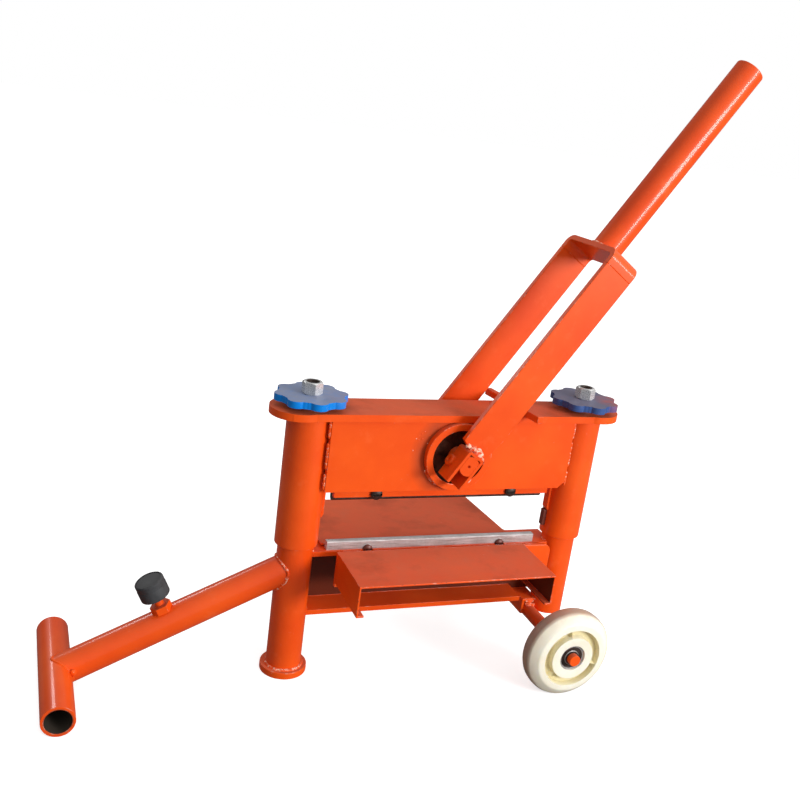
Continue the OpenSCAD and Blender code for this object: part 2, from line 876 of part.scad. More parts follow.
module wheel() {
    w = wheel_w / 2;
    seat = w - bearing_recess - bearing_w;
    hub_r = 39;
    recess_r = 52;
    recess_y = 13;
    outline = [
        [16, -seat], [bearing_d / 2, -seat], [bearing_d / 2, -w], [hub_r, -w],
        [hub_r + 2, -recess_y], [recess_r - 2, -recess_y], [recess_r, -w],
        [wheel_r - 7, -w], [wheel_r - 1.5, -w * 0.68], [wheel_r, -w * 0.32]
    ];
    upper = [for (i = [len(outline) - 1:-1:0]) [outline[i][0], -outline[i][1]]];
    color(NYLON) translate([axle_x, -wheel_y, wheel_r]) rotate([90, 0, 0])
        rotate_extrude($fn = 96) polygon(concat(outline, upper));
}

module bearing_outer() {
    color(DARK) bearing_rings(-wheel_y, bearing_race_r + running, bearing_d / 2);
}

foot_disc();
column_left();
column_right();
column_nut(0);  // column_nut_left
column_nut(column_spacing);  // column_nut_right
leg_tube();
foot_tube();
buffer_pad();
buffer_stud();
beam();
cheek_plate();
cheek_spacers();
front_table();
rear_table();
rear_table_ribs();
lower_blade();
lower_blade_bolts();
axle_bracket();
axle();
bearing_inner_rings();
axle_clips();
deck_plate();
sleeve(0);  // sleeve_left
sleeve(column_spacing);  // sleeve_right
side_plate();  // side_plate_front
mirror([0, 1, 0]) side_plate();  // side_plate_rear
bearing_ring();  // bearing_ring_front
mirror([0, 1, 0]) bearing_ring();  // bearing_ring_rear
bush();  // bush_front
mirror([0, 1, 0]) bush();  // bush_rear
guide_left();
guide_right();
guide_stop();
rest_bar();
thrust_washers();
return_springs();
blade_holder();
upper_blade();
upper_blade_bolts();
cam_pad();
cam_shaft();
cam();
fork();  // fork_front
mirror([0, 1, 0]) fork();  // fork_rear
fork_bolts();
arm();  // arm_front
mirror([0, 1, 0]) arm();  // arm_rear
bridge();
handle_tube();
lead_screw(0);  // lead_screw_left
lead_screw(column_spacing);  // lead_screw_right
handwheel(0);  // handwheel_left
handwheel(column_spacing);  // handwheel_right
handwheel_nut(0);  // handwheel_nut_left
handwheel_nut(column_spacing);  // handwheel_nut_right
wheel();  // wheel_front
at_rear_end() wheel();  // wheel_rear
bearing_outer();  // bearing_outer_front
at_rear_end() bearing_outer();  // bearing_outer_rear
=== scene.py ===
import json
import math
import random

import bmesh
import bpy
from mathutils import Matrix, Vector, noise

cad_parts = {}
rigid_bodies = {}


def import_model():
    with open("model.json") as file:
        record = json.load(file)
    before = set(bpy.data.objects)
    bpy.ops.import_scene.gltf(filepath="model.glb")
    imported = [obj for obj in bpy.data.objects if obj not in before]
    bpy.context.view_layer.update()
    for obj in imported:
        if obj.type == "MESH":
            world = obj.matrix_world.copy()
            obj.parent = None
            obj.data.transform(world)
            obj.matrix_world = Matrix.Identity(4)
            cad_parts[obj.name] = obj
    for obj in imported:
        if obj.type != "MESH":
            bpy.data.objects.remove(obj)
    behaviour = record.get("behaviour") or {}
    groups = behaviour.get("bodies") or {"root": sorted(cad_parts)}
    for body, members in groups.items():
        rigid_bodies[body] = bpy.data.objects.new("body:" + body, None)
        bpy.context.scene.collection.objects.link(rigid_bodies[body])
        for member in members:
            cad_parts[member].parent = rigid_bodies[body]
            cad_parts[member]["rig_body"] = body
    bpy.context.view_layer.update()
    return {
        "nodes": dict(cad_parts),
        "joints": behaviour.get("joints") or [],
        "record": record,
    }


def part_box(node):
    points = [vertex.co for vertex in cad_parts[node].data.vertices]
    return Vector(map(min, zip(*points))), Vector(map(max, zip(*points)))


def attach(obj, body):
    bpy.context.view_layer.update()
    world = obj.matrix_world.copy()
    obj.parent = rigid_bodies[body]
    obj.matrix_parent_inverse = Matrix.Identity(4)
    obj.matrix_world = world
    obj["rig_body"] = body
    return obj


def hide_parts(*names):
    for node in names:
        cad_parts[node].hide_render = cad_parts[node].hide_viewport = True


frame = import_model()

# Looks of the hand-lever block splitter, built round its CAD frame. Lengths are in metres.
scene = bpy.context.scene
MM = 0.001
X_AXIS = Vector((1, 0, 0))
Y_AXIS = Vector((0, 1, 0))
Z_AXIS = Vector((0, 0, 1))


# --- Places taken from the frame ---

def middle(node):
    low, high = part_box(node)
    return (low + high) / 2


def size(node):
    low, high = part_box(node)
    return high - low


def axis_frame(origin, direction):
    """A matrix whose local Z runs along direction from origin."""
    return Matrix.Translation(origin) @ direction.to_track_quat("Z", "Y").to_matrix().to_4x4()


joints = {joint["name"]: joint for joint in frame["joints"]}
mounts = {mount["name"]: mount for mount in frame["record"]["mounts"]}
PIVOT = Vector(joints["lever_swing"]["pos_m"])
LEVER = Vector(mounts["handle_socket"]["axis"]).normalized()
LEVER_SIDE = Y_AXIS.cross(LEVER)
COLUMNS = [0.0, middle("column_right").x]
COLUMN_R = size("column_left").x / 2
FOOT_TUBE = middle("foot_tube")
FOOT_TUBE_R = size("foot_tube").z / 2
# The leg's centre line runs from the foot tube to this height on the left column's axis
LEG_R = 25.4 * MM
LEG_TOP = Vector((0, 0, 196.7 * MM))
LEG = (LEG_TOP - FOOT_TUBE).normalized()
LEG_UP = LEG.cross(Y_AXIS).normalized()
BUFFER_R = 24 * MM
BUFFER_H = 33 * MM
HANDLE_LEN = 385 * MM
BEARING_SEAT_R = 23.5 * MM


def on_lever(along, across=0.0, y=0.0):
    return PIVOT + LEVER * along + LEVER_SIDE * across + Y_AXIS * y


# --- Materials ---

class Shading:
    """One material and the shader nodes that it needs."""

    def __init__(self, name, colour, **sockets):
        self.material = bpy.data.materials.new(name)
        self.material.use_nodes = True
        self.tree = self.material.node_tree
        self.shader = self.tree.nodes["Principled BSDF"]
        self.shader.inputs["Base Color"].default_value = (*colour, 1)
        for socket, value in sockets.items():
            self.shader.inputs[socket.replace("_", " ")].default_value = value
        self.place = self.add("ShaderNodeTexCoord")

    def add(self, kind, **properties):
        node = self.tree.nodes.new(kind)
        for key, value in properties.items():
            setattr(node, key, value)
        return node

    def plug(self, socket, value):
        """Links value into socket, or sets it when value is a plain number or colour."""
        if isinstance(value, bpy.types.NodeSocket):
            self.tree.links.new(value, socket)
        elif isinstance(value, tuple):
            socket.default_value = (*value, 1)
        else:
            socket.default_value = value

    def set(self, socket, value):
        self.plug(self.shader.inputs[socket], value)

    def noise(self, scale, detail=3.0, rough=0.5, stretch=None, seed=0.0):
        texture = self.add("ShaderNodeTexNoise")
        texture.inputs["Scale"].default_value = scale
        texture.inputs["Detail"].default_value = detail
        texture.inputs["Roughness"].default_value = rough
        mapping = self.add("ShaderNodeMapping")
        mapping.inputs["Location"].default_value = (seed, seed * 0.7, seed * 1.3)
        mapping.inputs["Scale"].default_value = stretch or (1, 1, 1)
        self.plug(mapping.inputs["Vector"], self.place.outputs["Object"])
        self.plug(texture.inputs["Vector"], mapping.outputs["Vector"])
        return texture.outputs["Fac"]

    def steps(self, value, low, high, bottom=0.0, top=1.0):
        """Maps value from low..high to bottom..top, and holds it at the ends."""
        node = self.add("ShaderNodeMapRange")
        node.clamp = True
        node.inputs["From Min"].default_value = low
        node.inputs["From Max"].default_value = high
        node.inputs["To Min"].default_value = bottom
        node.inputs["To Max"].default_value = top
        self.plug(node.inputs["Value"], value)
        return node.outputs["Result"]

    def maths(self, operation, a, b=0.0):
        node = self.add("ShaderNodeMath", operation=operation)
        self.plug(node.inputs[0], a)
        self.plug(node.inputs[1], b)
        return node.outputs[0]

    def times(self, a, b):
        return self.maths("MULTIPLY", a, b)

    def mix(self, factor, a, b):
        node = self.add("ShaderNodeMix", data_type="RGBA")
        self.plug(node.inputs["Factor"], factor)
        self.plug(node.inputs[6], a)
        self.plug(node.inputs[7], b)
        return node.outputs[2]

    def part_of(self, axis, source="Object"):
        """One coordinate of the place on the object, or of the surface's direction."""
        node = self.add("ShaderNodeSeparateXYZ")
        self.plug(node.inputs[0], self.place.outputs[source])
        return node.outputs[axis]

    def distance_from(self, point, reach, soft):
        """1 near point, 0 beyond reach, in metres."""
        node = self.add("ShaderNodeVectorMath", operation="DISTANCE")
        self.plug(node.inputs[0], self.place.outputs["Object"])
        node.inputs[1].default_value = point
        return self.steps(node.outputs["Value"], reach, reach - soft)

    def off_axis(self, point):
        """Distance from an axis along Y through point, in metres."""
        shift = self.add("ShaderNodeVectorMath", operation="SUBTRACT")
        self.plug(shift.inputs[0], self.place.outputs["Object"])
        shift.inputs[1].default_value = point
        flat = self.add("ShaderNodeVectorMath", operation="MULTIPLY")
        self.plug(flat.inputs[0], shift.outputs["Vector"])
        flat.inputs[1].default_value = (1, 0, 1)
        length = self.add("ShaderNodeVectorMath", operation="LENGTH")
        self.plug(length.inputs[0], flat.outputs["Vector"])
        return length.outputs["Value"]

    def bump(self, *layers):
        """Stacks bump layers of (height, strength, distance in metres)."""
        normal = None
        for height, strength, distance in layers:
            node = self.add("ShaderNodeBump")
            node.inputs["Strength"].default_value = strength
            node.inputs["Distance"].default_value = distance
            self.plug(node.inputs["Height"], height)
            if normal:
                self.plug(node.inputs["Normal"], normal)
            normal = node.outputs["Normal"]
        self.set("Normal", normal)


ORANGE = (0.88, 0.098, 0.006)
DEEP_ORANGE = (0.78, 0.066, 0.003)
PALE_ORANGE = (0.92, 0.17, 0.045)
# Dust on up-facing faces together with a painted sheen and painted shade: paler and duller than the enamel.
ROAD_DUST_AND_SHEEN = (0.64, 0.135, 0.066)
# Soot on up-facing faces, and also the painted shadow that the bearing ring casts on the side plate.
SOOT_AND_SHADOW = (0.16, 0.045, 0.022)
OLD_STEEL = (0.10, 0.06, 0.045)
# Pale primer showing through scuffs, and also a painted highlight along edges.
PRIMER_AND_EDGE_HIGHLIGHT = (0.72, 0.42, 0.32)
# Grease plus painted shade inside the bearing ring's bore.
GREASE_AND_SHADE = (0.055, 0.014, 0.006)
# Painted shade inside hollows.
CAVITY_SHADE = (0.030, 0.011, 0.007)
RAW_STEEL = (0.055, 0.045, 0.035)
BARE_WELD_METAL = (0.95, 0.62, 0.47)


def paint(name, chips=0.0, edge_wear_and_highlight=0.0, film=1.0, weld=0.0, bore=None, ring_shadow_reach=0.0, hollow=None, gloss=0.05):
    """Sprayed enamel: slightly uneven, dusty with a painted sheen and painted shade where it faces up,
    chipped where it is knocked, with pale primer scuffs that also paint highlights on edges. Weld metal
    under it shows pale where it is bare. A bore is a point, a radius and a colour: the colour fills that
    radius round the point. A ring shadow is painted shadow to the left of the bearing up to its radius.
    A hollow is an axis, the direction its shaded face looks along that axis, and the range over which the
    painted shade deepens."""
    s = Shading(name, ORANGE, Roughness=0.42, Specular_IOR_Level=0.2, Coat_Weight=gloss, Coat_Roughness=0.10)
    cloud = s.noise(7, 4, 0.55)
    blotch = s.noise(38, 5, 0.6, seed=2.0)
    grain = s.noise(420, 3, 0.6, seed=5.0)
    colour = s.mix(s.steps(cloud, 0.36, 0.66), DEEP_ORANGE, ORANGE)
    colour = s.mix(s.steps(blotch, 0.58, 0.80, 0.0, 0.35), colour, PALE_ORANGE)
    # Faces that look up take dust plus a painted sheen and painted shade, and lose most of their specular.
    up = s.steps(s.part_of("Z", "Normal"), 0.55, 0.98, 0.0, film)
    dust_and_sheen = s.times(up, s.steps(blotch, 0.25, 0.75, 0.55, 0.95))
    colour = s.mix(dust_and_sheen, colour, ROAD_DUST_AND_SHEEN)
    stain = s.times(up, s.steps(s.noise(11, 5, 0.6, seed=6.0), 0.50, 0.70, 0.0, 0.35))
    colour = s.mix(stain, colour, SOOT_AND_SHADOW)
    # Pale scuffs show primer; where the amount is high, on the edge bands, they also paint a highlight along
    # the edges.
    rub_and_highlight_mask = s.steps(s.noise(90, 6, 0.75, seed=9.0), 0.66 - 0.14 * edge_wear_and_highlight, 0.74 - 0.10 * edge_wear_and_highlight)
    colour = s.mix(s.times(rub_and_highlight_mask, 0.30 + 0.45 * edge_wear_and_highlight), colour, PRIMER_AND_EDGE_HIGHLIGHT)
    chip = s.steps(s.noise(130, 7, 0.72, seed=4.0), 0.755 - 0.20 * chips, 0.765 - 0.20 * chips)
    colour = s.mix(chip, colour, OLD_STEEL)
    if weld:
        bare = s.steps(s.noise(170, 4, 0.7, seed=7.0), 0.60 - 0.14 * weld, 0.68 - 0.14 * weld, 0.0, 0.9)
        colour = s.mix(bare, colour, BARE_WELD_METAL)
    if bore:
        centre, radius, inside = bore
        colour = s.mix(s.steps(s.off_axis(centre), radius + 0.4 * MM, radius), colour, inside)
    # Painted shadow of the bearing ring, cast to its left on the side plate.
    if ring_shadow_reach:
        near = s.steps(s.off_axis(PIVOT), ring_shadow_reach, 0.68 * ring_shadow_reach, 0.0, 0.75)
        left = s.steps(s.part_of("X"), PIVOT.x + 10 * MM, PIVOT.x - 45 * MM)
        uneven = s.steps(blotch, 0.2, 0.6, 0.65, 1.0)
        colour = s.mix(s.times(s.times(near, left), uneven), colour, SOOT_AND_SHADOW)
    # Painted shade inside a hollow: faces that look one way grow darker further in.
    if hollow:
        axis, sign, depth, shade_from, shade_full_at = hollow
        faces = s.steps(s.part_of(axis, "Normal"), 0.5 * sign, 0.9 * sign)
        deep = s.steps(s.part_of(depth), shade_from, shade_full_at, 0.0, 0.9)
        colour = s.mix(s.times(faces, deep), colour, CAVITY_SHADE)
    s.set("Base Color", colour)
    s.set("Specular IOR Level", s.steps(dust_and_sheen, 0.0, 0.8, 0.2, 0.05))
    s.set("Roughness", s.steps(s.maths("ADD", dust_and_sheen, s.times(grain, 0.4)), 0.1, 1.1, 0.36, 0.6))
    peel = s.noise(1100 if weld else 650, 2, 0.5, seed=1.0)
    s.bump((cloud, 0.25, 0.6 * MM), (peel, 0.6 if weld else 0.22, 0.12 * MM), (chip, 0.5, -0.15 * MM))
    return s.material


def bare_steel(name, along=X_AXIS, tone=0.62, rust=0.25):
    """Ground steel with scratches along one axis, thumbed grey patches and a little rust."""
    s = Shading(name, (tone,) * 3, Metallic=0.6, Roughness=0.3)
    stretch = tuple(0.03 if abs(c) > 0.5 else 1.0 for c in along)
    lines = s.noise(900, 4, 0.65, stretch=stretch)
    patch = s.noise(30, 5, 0.65, seed=3.0)
    colour = s.mix(s.steps(lines, 0.35, 0.65), (tone * 0.62, tone * 0.60, tone * 0.58), (tone * 1.15,) * 3)
    colour = s.mix(s.steps(patch, 0.42, 0.70, 0.0, 0.55), colour, (0.30, 0.25, 0.23))
    spot = s.steps(s.noise(140, 6, 0.7, seed=8.0), 0.66 - 0.1 * rust, 0.72)
    colour = s.mix(s.times(spot, rust * 2), colour, (0.20, 0.07, 0.03))
    s.set("Base Color", colour)
    s.set("Roughness", s.steps(s.maths("ADD", lines, patch), 0.7, 1.3, 0.22, 0.52))
    s.bump((lines, 0.35, 0.05 * MM))
    return s.material


def black_steel(name, stain=None):
    """Black-oxide steel with oily streaks and rubbed high spots, or stained with thin paint."""
    s = Shading(name, (0.035, 0.03, 0.028), Metallic=0.1 if stain else 0.7, Roughness=0.45)
    streak = s.noise(60, 5, 0.7)
    fine = s.noise(500, 3, 0.6, seed=2.0)
    colour = s.mix(s.steps(streak, 0.35, 0.7), (0.018, 0.013, 0.012), (0.085, 0.06, 0.05))
    colour = s.mix(s.steps(fine, 0.62, 0.72, 0.0, 0.5), colour, (0.24, 0.21, 0.19))
    if stain:
        colour = s.mix(s.steps(streak, 0.25, 0.6, 0.45, 0.95), colour, stain)
    s.set("Base Color", colour)
    s.set("Roughness", s.steps(streak, 0.3, 0.7, 0.34, 0.6))
    s.bump((fine, 0.3, 0.08 * MM))
    return s.material


def zinc(name):
    """Bright zinc plate with a faint yellow and blue cast, and painted shade on faces that look left."""
    s = Shading(name, (0.74, 0.75, 0.74), Metallic=0.6, Roughness=0.22)
    cloud = s.noise(110, 4, 0.6)
    fine = s.noise(900, 3, 0.6, seed=4.0)
    colour = s.mix(s.steps(cloud, 0.35, 0.65), (0.72, 0.74, 0.77), (0.92, 0.91, 0.88))
    colour = s.mix(s.steps(s.noise(240, 5, 0.7, seed=6.0), 0.62, 0.72, 0.0, 0.6), colour, (0.32, 0.30, 0.28))
    # Painted shade: faces that look towards -X are darkened.
    shade = s.steps(s.part_of("X", "Normal"), 0.0, -0.5, 0.0, 0.5)
    colour = s.mix(shade, colour, (0.22, 0.24, 0.26))
    s.set("Base Color", colour)
    s.set("Roughness", s.steps(fine, 0.3, 0.7, 0.18, 0.36))
    s.bump((fine, 0.15, 0.04 * MM))
    return s.material


def moulded_blue(name, rim, face, overspray, spray_at):
    """Blue plastic whose top is clouded with pale dust and a painted sheen, with orange overspray near one
    point.
    """
    s = Shading(name, rim, Roughness=0.4, Specular_IOR_Level=0.25)
    cloud = s.noise(60, 5, 0.6)
    fine = s.noise(520, 3, 0.6, seed=3.0)
    # The top takes the pale face colour: dust plus a painted sheen.
    up = s.steps(s.part_of("Z", "Normal"), 0.35, 0.85)
    dust_and_sheen = s.times(up, s.steps(cloud, 0.25, 0.7, 0.70, 0.98))
    colour = s.mix(dust_and_sheen, rim, face)
    colour = s.mix(s.steps(fine, 0.66, 0.75, 0.0, 0.4), colour, (0.55, 0.56, 0.62))
    spray = s.times(s.distance_from(spray_at, 0.045, 0.035), s.steps(cloud, 0.35, 0.6, 0.3, 1.0))
    colour = s.mix(s.times(spray, overspray), colour, (0.45, 0.10, 0.09))
    s.set("Base Color", colour)
    s.set("Roughness", s.steps(dust_and_sheen, 0.0, 1.0, 0.30, 0.55))
    s.bump((fine, 0.2, 0.08 * MM), (cloud, 0.2, 0.3 * MM))
    return s.material


def nylon(name, centre, radius):
    """Cast cream nylon, grimy on the tread and darker and yellower in the recess."""
    s = Shading(name, (0.83, 0.78, 0.62), Roughness=0.42, Subsurface_Weight=0.25, Subsurface_Scale=0.01)
    s.shader.inputs["Subsurface Radius"].default_value = (1.0, 0.8, 0.5)
    reach = s.off_axis(centre)
    cloud = s.noise(26, 5, 0.62)
    speck = s.noise(210, 6, 0.7, seed=5.0)
    recess = s.times(s.steps(reach, 0.47 * radius, 0.52 * radius),
                     s.steps(reach, 0.68 * radius, 0.64 * radius))
    colour = s.mix(s.steps(cloud, 0.35, 0.7), (0.86, 0.80, 0.64), (0.90, 0.87, 0.76))
    colour = s.mix(s.times(recess, 0.8), colour, (0.70, 0.60, 0.30))
    tread = s.steps(reach, 0.955 * radius, 0.99 * radius)
    grime = s.times(tread, s.steps(cloud, 0.2, 0.6, 0.6, 0.9))
    colour = s.mix(grime, colour, (0.33, 0.20, 0.15))
    shoulder = s.steps(reach, 0.84 * radius, 0.96 * radius)
    rubbed = s.times(shoulder, s.steps(cloud, 0.42, 0.62, 0.0, 0.5))
    colour = s.mix(rubbed, colour, (0.62, 0.43, 0.26))
    colour = s.mix(s.steps(speck, 0.68, 0.74, 0.0, 0.55), colour, (0.35, 0.25, 0.17))
    s.set("Base Color", colour)
    s.set("Roughness", s.steps(cloud, 0.3, 0.7, 0.34, 0.5))
    s.bump((cloud, 0.25, 0.5 * MM), (speck, 0.25, 0.15 * MM))
    return s.material


def rubber(name):
    """Moulded black rubber with grey bloom and fine pits."""
    s = Shading(name, (0.022, 0.023, 0.026), Roughness=0.7)
    cloud = s.noise(55, 5, 0.65)
    pit = s.noise(480, 4, 0.6, seed=3.0)
    up = s.steps(s.part_of("Z", "Normal"), 0.3, 0.95)
    colour = s.mix(s.steps(cloud, 0.35, 0.7), (0.016, 0.017, 0.020), (0.045, 0.046, 0.050))
    colour = s.mix(s.times(up, s.steps(cloud, 0.3, 0.7, 0.1, 0.45)), colour, (0.085, 0.082, 0.08))
    s.set("Base Color", colour)
    s.set("Roughness", s.steps(cloud, 0.3, 0.7, 0.55, 0.8))
    s.bump((pit, 0.35, 0.15 * MM))
    return s.material


def bronze(name):
    """Greasy bearing bronze, painted nearly black as grease and the painted shade of the bearing recess."""
    s = Shading(name, (0.32, 0.2, 0.1), Metallic=0.85, Roughness=0.35)
    grease_and_shade = s.noise(45, 5, 0.7)
    # Nearly black: grease plus painted shade of the recess.
    colour = s.mix(s.steps(grease_and_shade, 0.35, 0.6), (0.020, 0.008, 0.005), (0.085, 0.032, 0.018))
    s.set("Base Color", colour)
    s.set("Roughness", s.steps(grease_and_shade, 0.3, 0.7, 0.22, 0.6))
    s.bump((grease_and_shade, 0.3, 0.3 * MM))
    return s.material


PAINT = paint("orange_enamel")
CLEAN = paint("orange_enamel_sheltered", film=0.15)
TUBE = paint("orange_enamel_tube", film=0.1, chips=0.12, gloss=0.3)
FOOT = paint("orange_enamel_foot", film=0.1, gloss=0.3, bore=(FOOT_TUBE, FOOT_TUBE_R - 4 * MM, RAW_STEEL))
EDGE = paint("orange_enamel_edge", chips=0.45, edge_wear_and_highlight=0.9, film=0.5)
KNOCKED = paint("orange_enamel_knocked", chips=0.75, edge_wear_and_highlight=1.0, film=0.5)
# The front table's right wall is painted darker inside, and the beam's channel darker towards its back, both
# as painted shade.
TABLE_SHADED_INSIDE = paint("orange_enamel_table_shaded_inside", hollow=("X", -1, "X", 300 * MM, 400 * MM))
CHANNEL_SHADED_INSIDE = paint("orange_enamel_channel_shaded_inside", film=0.1, hollow=("Y", -1, "Y", 0.0, 30 * MM))
# Side plates with the bearing ring's shadow painted to its left.
RING_SHADOW_PAINT = paint("orange_enamel_ring_shadow", ring_shadow_reach=86 * MM)
# The bearing rings' bores are painted dark, as grease and painted shade.
GREASY_SHADED_BORE = paint("orange_enamel_greasy_shaded_bore", bore=(PIVOT, 47.4 * MM, GREASE_AND_SHADE))
WELD = paint("orange_weld", edge_wear_and_highlight=0.3, weld=0.5)
BARE_WELD = paint("bare_weld", edge_wear_and_highlight=0.5, weld=1.0)
BLADE = bare_steel("ground_blade_steel", tone=0.72, rust=0.2)
STEEL = bare_steel("turned_steel", along=Y_AXIS, tone=0.55, rust=0.3)
BLACK = black_steel("black_oxide_steel")
# Stained steel for the guide stop and lower bolts, also used for the painted shadow line under the deck.
BROWN = black_steel("paint_stained_steel_and_seam_shadow", stain=(0.16, 0.025, 0.010))
ZINC = zinc("bright_zinc")
RUBBER = rubber("moulded_rubber")
BRONZE = bronze("greasy_shaded_bronze")


# --- Geometry: every function below returns parts as (points, faces, face materials) ---

def piece(name, body, parts, materials, nodes=(), smooth_angle=40):
    """Makes one mesh object from parts, puts it on its body and lets it stand for CAD nodes."""
    points, faces, bands = [], [], []
    for part_points, part_faces, part_bands in parts:
        offset = len(points)
        points.extend(part_points)
        faces.extend([tuple(i + offset for i in face) for face in part_faces])
        bands.extend(part_bands)
    mesh = bpy.data.meshes.new(name)
    mesh.from_pydata(points, [], faces)
    for material in materials:
        mesh.materials.append(material)
    mesh.polygons.foreach_set("material_index", bands)
    mesh.validate()
    tidy = bmesh.new()
    tidy.from_mesh(mesh)
    bmesh.ops.recalc_face_normals(tidy, faces=tidy.faces)
    tidy.to_mesh(mesh)
    tidy.free()
    mesh.shade_smooth()
    mesh.set_sharp_from_angle(angle=math.radians(smooth_angle))
    made = bpy.data.objects.new(name, mesh)
    scene.collection.objects.link(made)
    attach(made, body)
    if nodes:
        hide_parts(*nodes)
    return made


def turned(origin, direction, rings, segments=72, closed=False):
    """A turned part. Each ring is (radius, height, material index of the band that follows it);
    radius and height may be functions of the angle. A radius of 0 closes the end."""
    place = axis_frame(origin, direction)
    points, rows, faces, bands = [], [], [], []
    for radius, height, _ in rings:
        if radius == 0:
            rows.append([len(points)] * segments)
            points.append(place @ Vector((0, 0, height)))
            continue
        rows.append(list(range(len(points), len(points) + segments)))
        for i in range(segments):
            a = 2 * math.pi * i / segments
            r = radius(a) if callable(radius) else radius
            h = height(a) if callable(height) else height
            points.append(place @ Vector((r * math.cos(a), r * math.sin(a), h)))
    pairs = list(zip(rows, rows[1:], rings))
    if closed:
        pairs.append((rows[-1], rows[0], rings[-1]))
    for low, high, ring in pairs:
        for i in range(segments):
            j = (i + 1) % segments
            face = [low[i], low[j], high[j], high[i]]
            face = [v for k, v in enumerate(face) if v not in face[:k]]
            faces.append(tuple(face))
            bands.append(ring[2])
    return points, faces, bands


def rod(origin, direction, radius, length, segments=72):
    rings = [(0, 0, 0), (radius, 0, 0), (radius, length, 0), (0, length, 0)]
    return turned(origin, direction, rings, segments)


def fillet(corners, steps=4):
    """Rounds the corners of a closed outline of (radius, height, fillet, material) points."""
    rings = []
    for k, (r, h, rounding, band) in enumerate(corners):
        here = Vector((r, h))
        before = Vector(corners[k - 1][:2])
        after = Vector(corners[(k + 1) % len(corners)][:2])
        if rounding == 0:
            rings.append((r, h, band))
            continue
        back = (before - here).normalized()
        on = (after - here).normalized()
        half = max(0.05, back.angle(on) / 2)
        reach = min(rounding / math.tan(half), (before - here).length * 0.48, (after - here).length * 0.48)
        start = here + back * reach
        end = here + on * reach
        for i in range(steps + 1):
            t = i / steps
            p = start.lerp(here, t).lerp(here.lerp(end, t), t)
            rings.append((p.x, p.y, band))
    return rings


def spread_points(path, spacing, closed):
    """Points at an even spacing along a path."""
    path = list(path) + ([path[0]] if closed else [])
    lengths = [0.0]
    for a, b in zip(path, path[1:]):
        lengths.append(lengths[-1] + (b - a).length)
    total = lengths[-1]
    count = max(3, round(total / spacing))
    spaced, k = [], 0
    for i in range(count if closed else count + 1):
        target = total * i / count
        while k < len(lengths) - 2 and lengths[k + 1] < target:
            k += 1
        span = lengths[k + 1] - lengths[k]
        spaced.append(path[k].lerp(path[k + 1], (target - lengths[k]) / span if span else 0.0))
    return spaced, total / count


def bead(path, width, closed=False, seed=1, ripple=2.6 * MM, sides=10):
    """A weld bead: a rippled, slightly uneven cord of metal along a path."""
    rng = random.Random(seed)
    spaced, step = spread_points(path, ripple / 4, closed)
    count = len(spaced)
    points, faces = [], []
    wobble = [rng.uniform(-1, 1) for _ in range(count // 6 + 3)]
    for i, here in enumerate(spaced):
        before = spaced[i - 1] if (closed or i) else here
        after = spaced[(i + 1) % count] if (closed or i < count - 1) else here
        along = (after - before).normalized()
        side = along.cross(Z_AXIS if abs(along.z) < 0.9 else X_AXIS).normalized()
        up = side.cross(along)
        drift = wobble[i // 6] * (1 - i % 6 / 6) + wobble[i // 6 + 1] * (i % 6 / 6)
        wave = abs(math.sin(math.pi * i * step / ripple))
        r = width / 2 * (0.84 + 0.16 * wave + 0.12 * drift)
        if not closed:
            r *= min(1.0, 0.35 + 0.2 * min(i, count - 1 - i))
        for k in range(sides):
            a = 2 * math.pi * k / sides
            points.append(here + (side * math.cos(a) + up * math.sin(a)) * r)
    for i in range(count if closed else count - 1):
        low, high = i * sides, (i + 1) % count * sides
        for k in range(sides):
            faces.append((low + k, low + (k + 1) % sides, high + (k + 1) % sides, high + k))
    if not closed:
        faces.append(tuple(range(sides)))
        faces.append(tuple(range((count - 1) * sides, count * sides)))
    return points, faces, [0] * len(faces)


def lump(centre, radii, seed=1, detail=3):
    """An irregular drop of weld metal."""
    made = bmesh.new()
    bmesh.ops.create_icosphere(made, subdivisions=detail, radius=1.0)
    shift = Vector((seed * 3.1, seed * 1.7, seed * 0.9))
    points = []
    for vertex in made.verts:
        swell = 1 + 0.28 * noise.noise(vertex.co * 1.6 + shift) + 0.10 * noise.noise(vertex.co * 5 + shift)
        points.append(centre + Vector([vertex.co[i] * radii[i] * swell for i in range(3)]))
    faces = [tuple(v.index for v in face.verts) for face in made.faces]
    made.free()
    return points, faces, [0] * len(faces)


def ring_path(centre, axis, radius, start=0.0, end=360.0, steps=72):
    place = axis_frame(centre, axis)
    angles = [math.radians(start + (end - start) * i / steps) for i in range(steps + (end - start < 360))]
    return [place @ Vector((radius * math.cos(a), radius * math.sin(a), 0)) for a in angles]


def softened(node, material=PAINT, edge=EDGE, width=1.0 * MM, segments=2):
    """A copy of a CAD node with every sharp edge rounded off; the rounding takes the edge material."""
    mesh = frame["nodes"][node].data.copy()
    shape = bmesh.new()
    shape.from_mesh(mesh)
    bmesh.ops.remove_doubles(shape, verts=shape.verts, dist=2e-6)
    bmesh.ops.dissolve_limit(shape, angle_limit=math.radians(0.4), verts=shape.verts, edges=shape.edges)
    shape.to_mesh(mesh)
    shape.free()
    mesh.materials.clear()
    mesh.materials.append(material)
    mesh.materials.append(edge)
    mesh.polygons.foreach_set("material_index", [0] * len(mesh.polygons))
    made = bpy.data.objects.new("soft_" + node, mesh)
    scene.collection.objects.link(made)
    bevel = made.modifiers.new("edges", "BEVEL")
    bevel.width = width
    bevel.segments = segments
    bevel.limit_method = "ANGLE"
    bevel.angle_limit = math.radians(16)
    bevel.material = 1
    bevel.miter_outer = "MITER_ARC"
    view_layer = bpy.context.evaluated_depsgraph_get()
    finished = bpy.data.meshes.new_from_object(made.evaluated_get(view_layer))
    made.modifiers.clear()
    made.data = finished
    finished.shade_smooth()
    finished.set_sharp_from_angle(angle=math.radians(17))
    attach(made, frame["nodes"][node]["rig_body"])
    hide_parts(node)
    return made


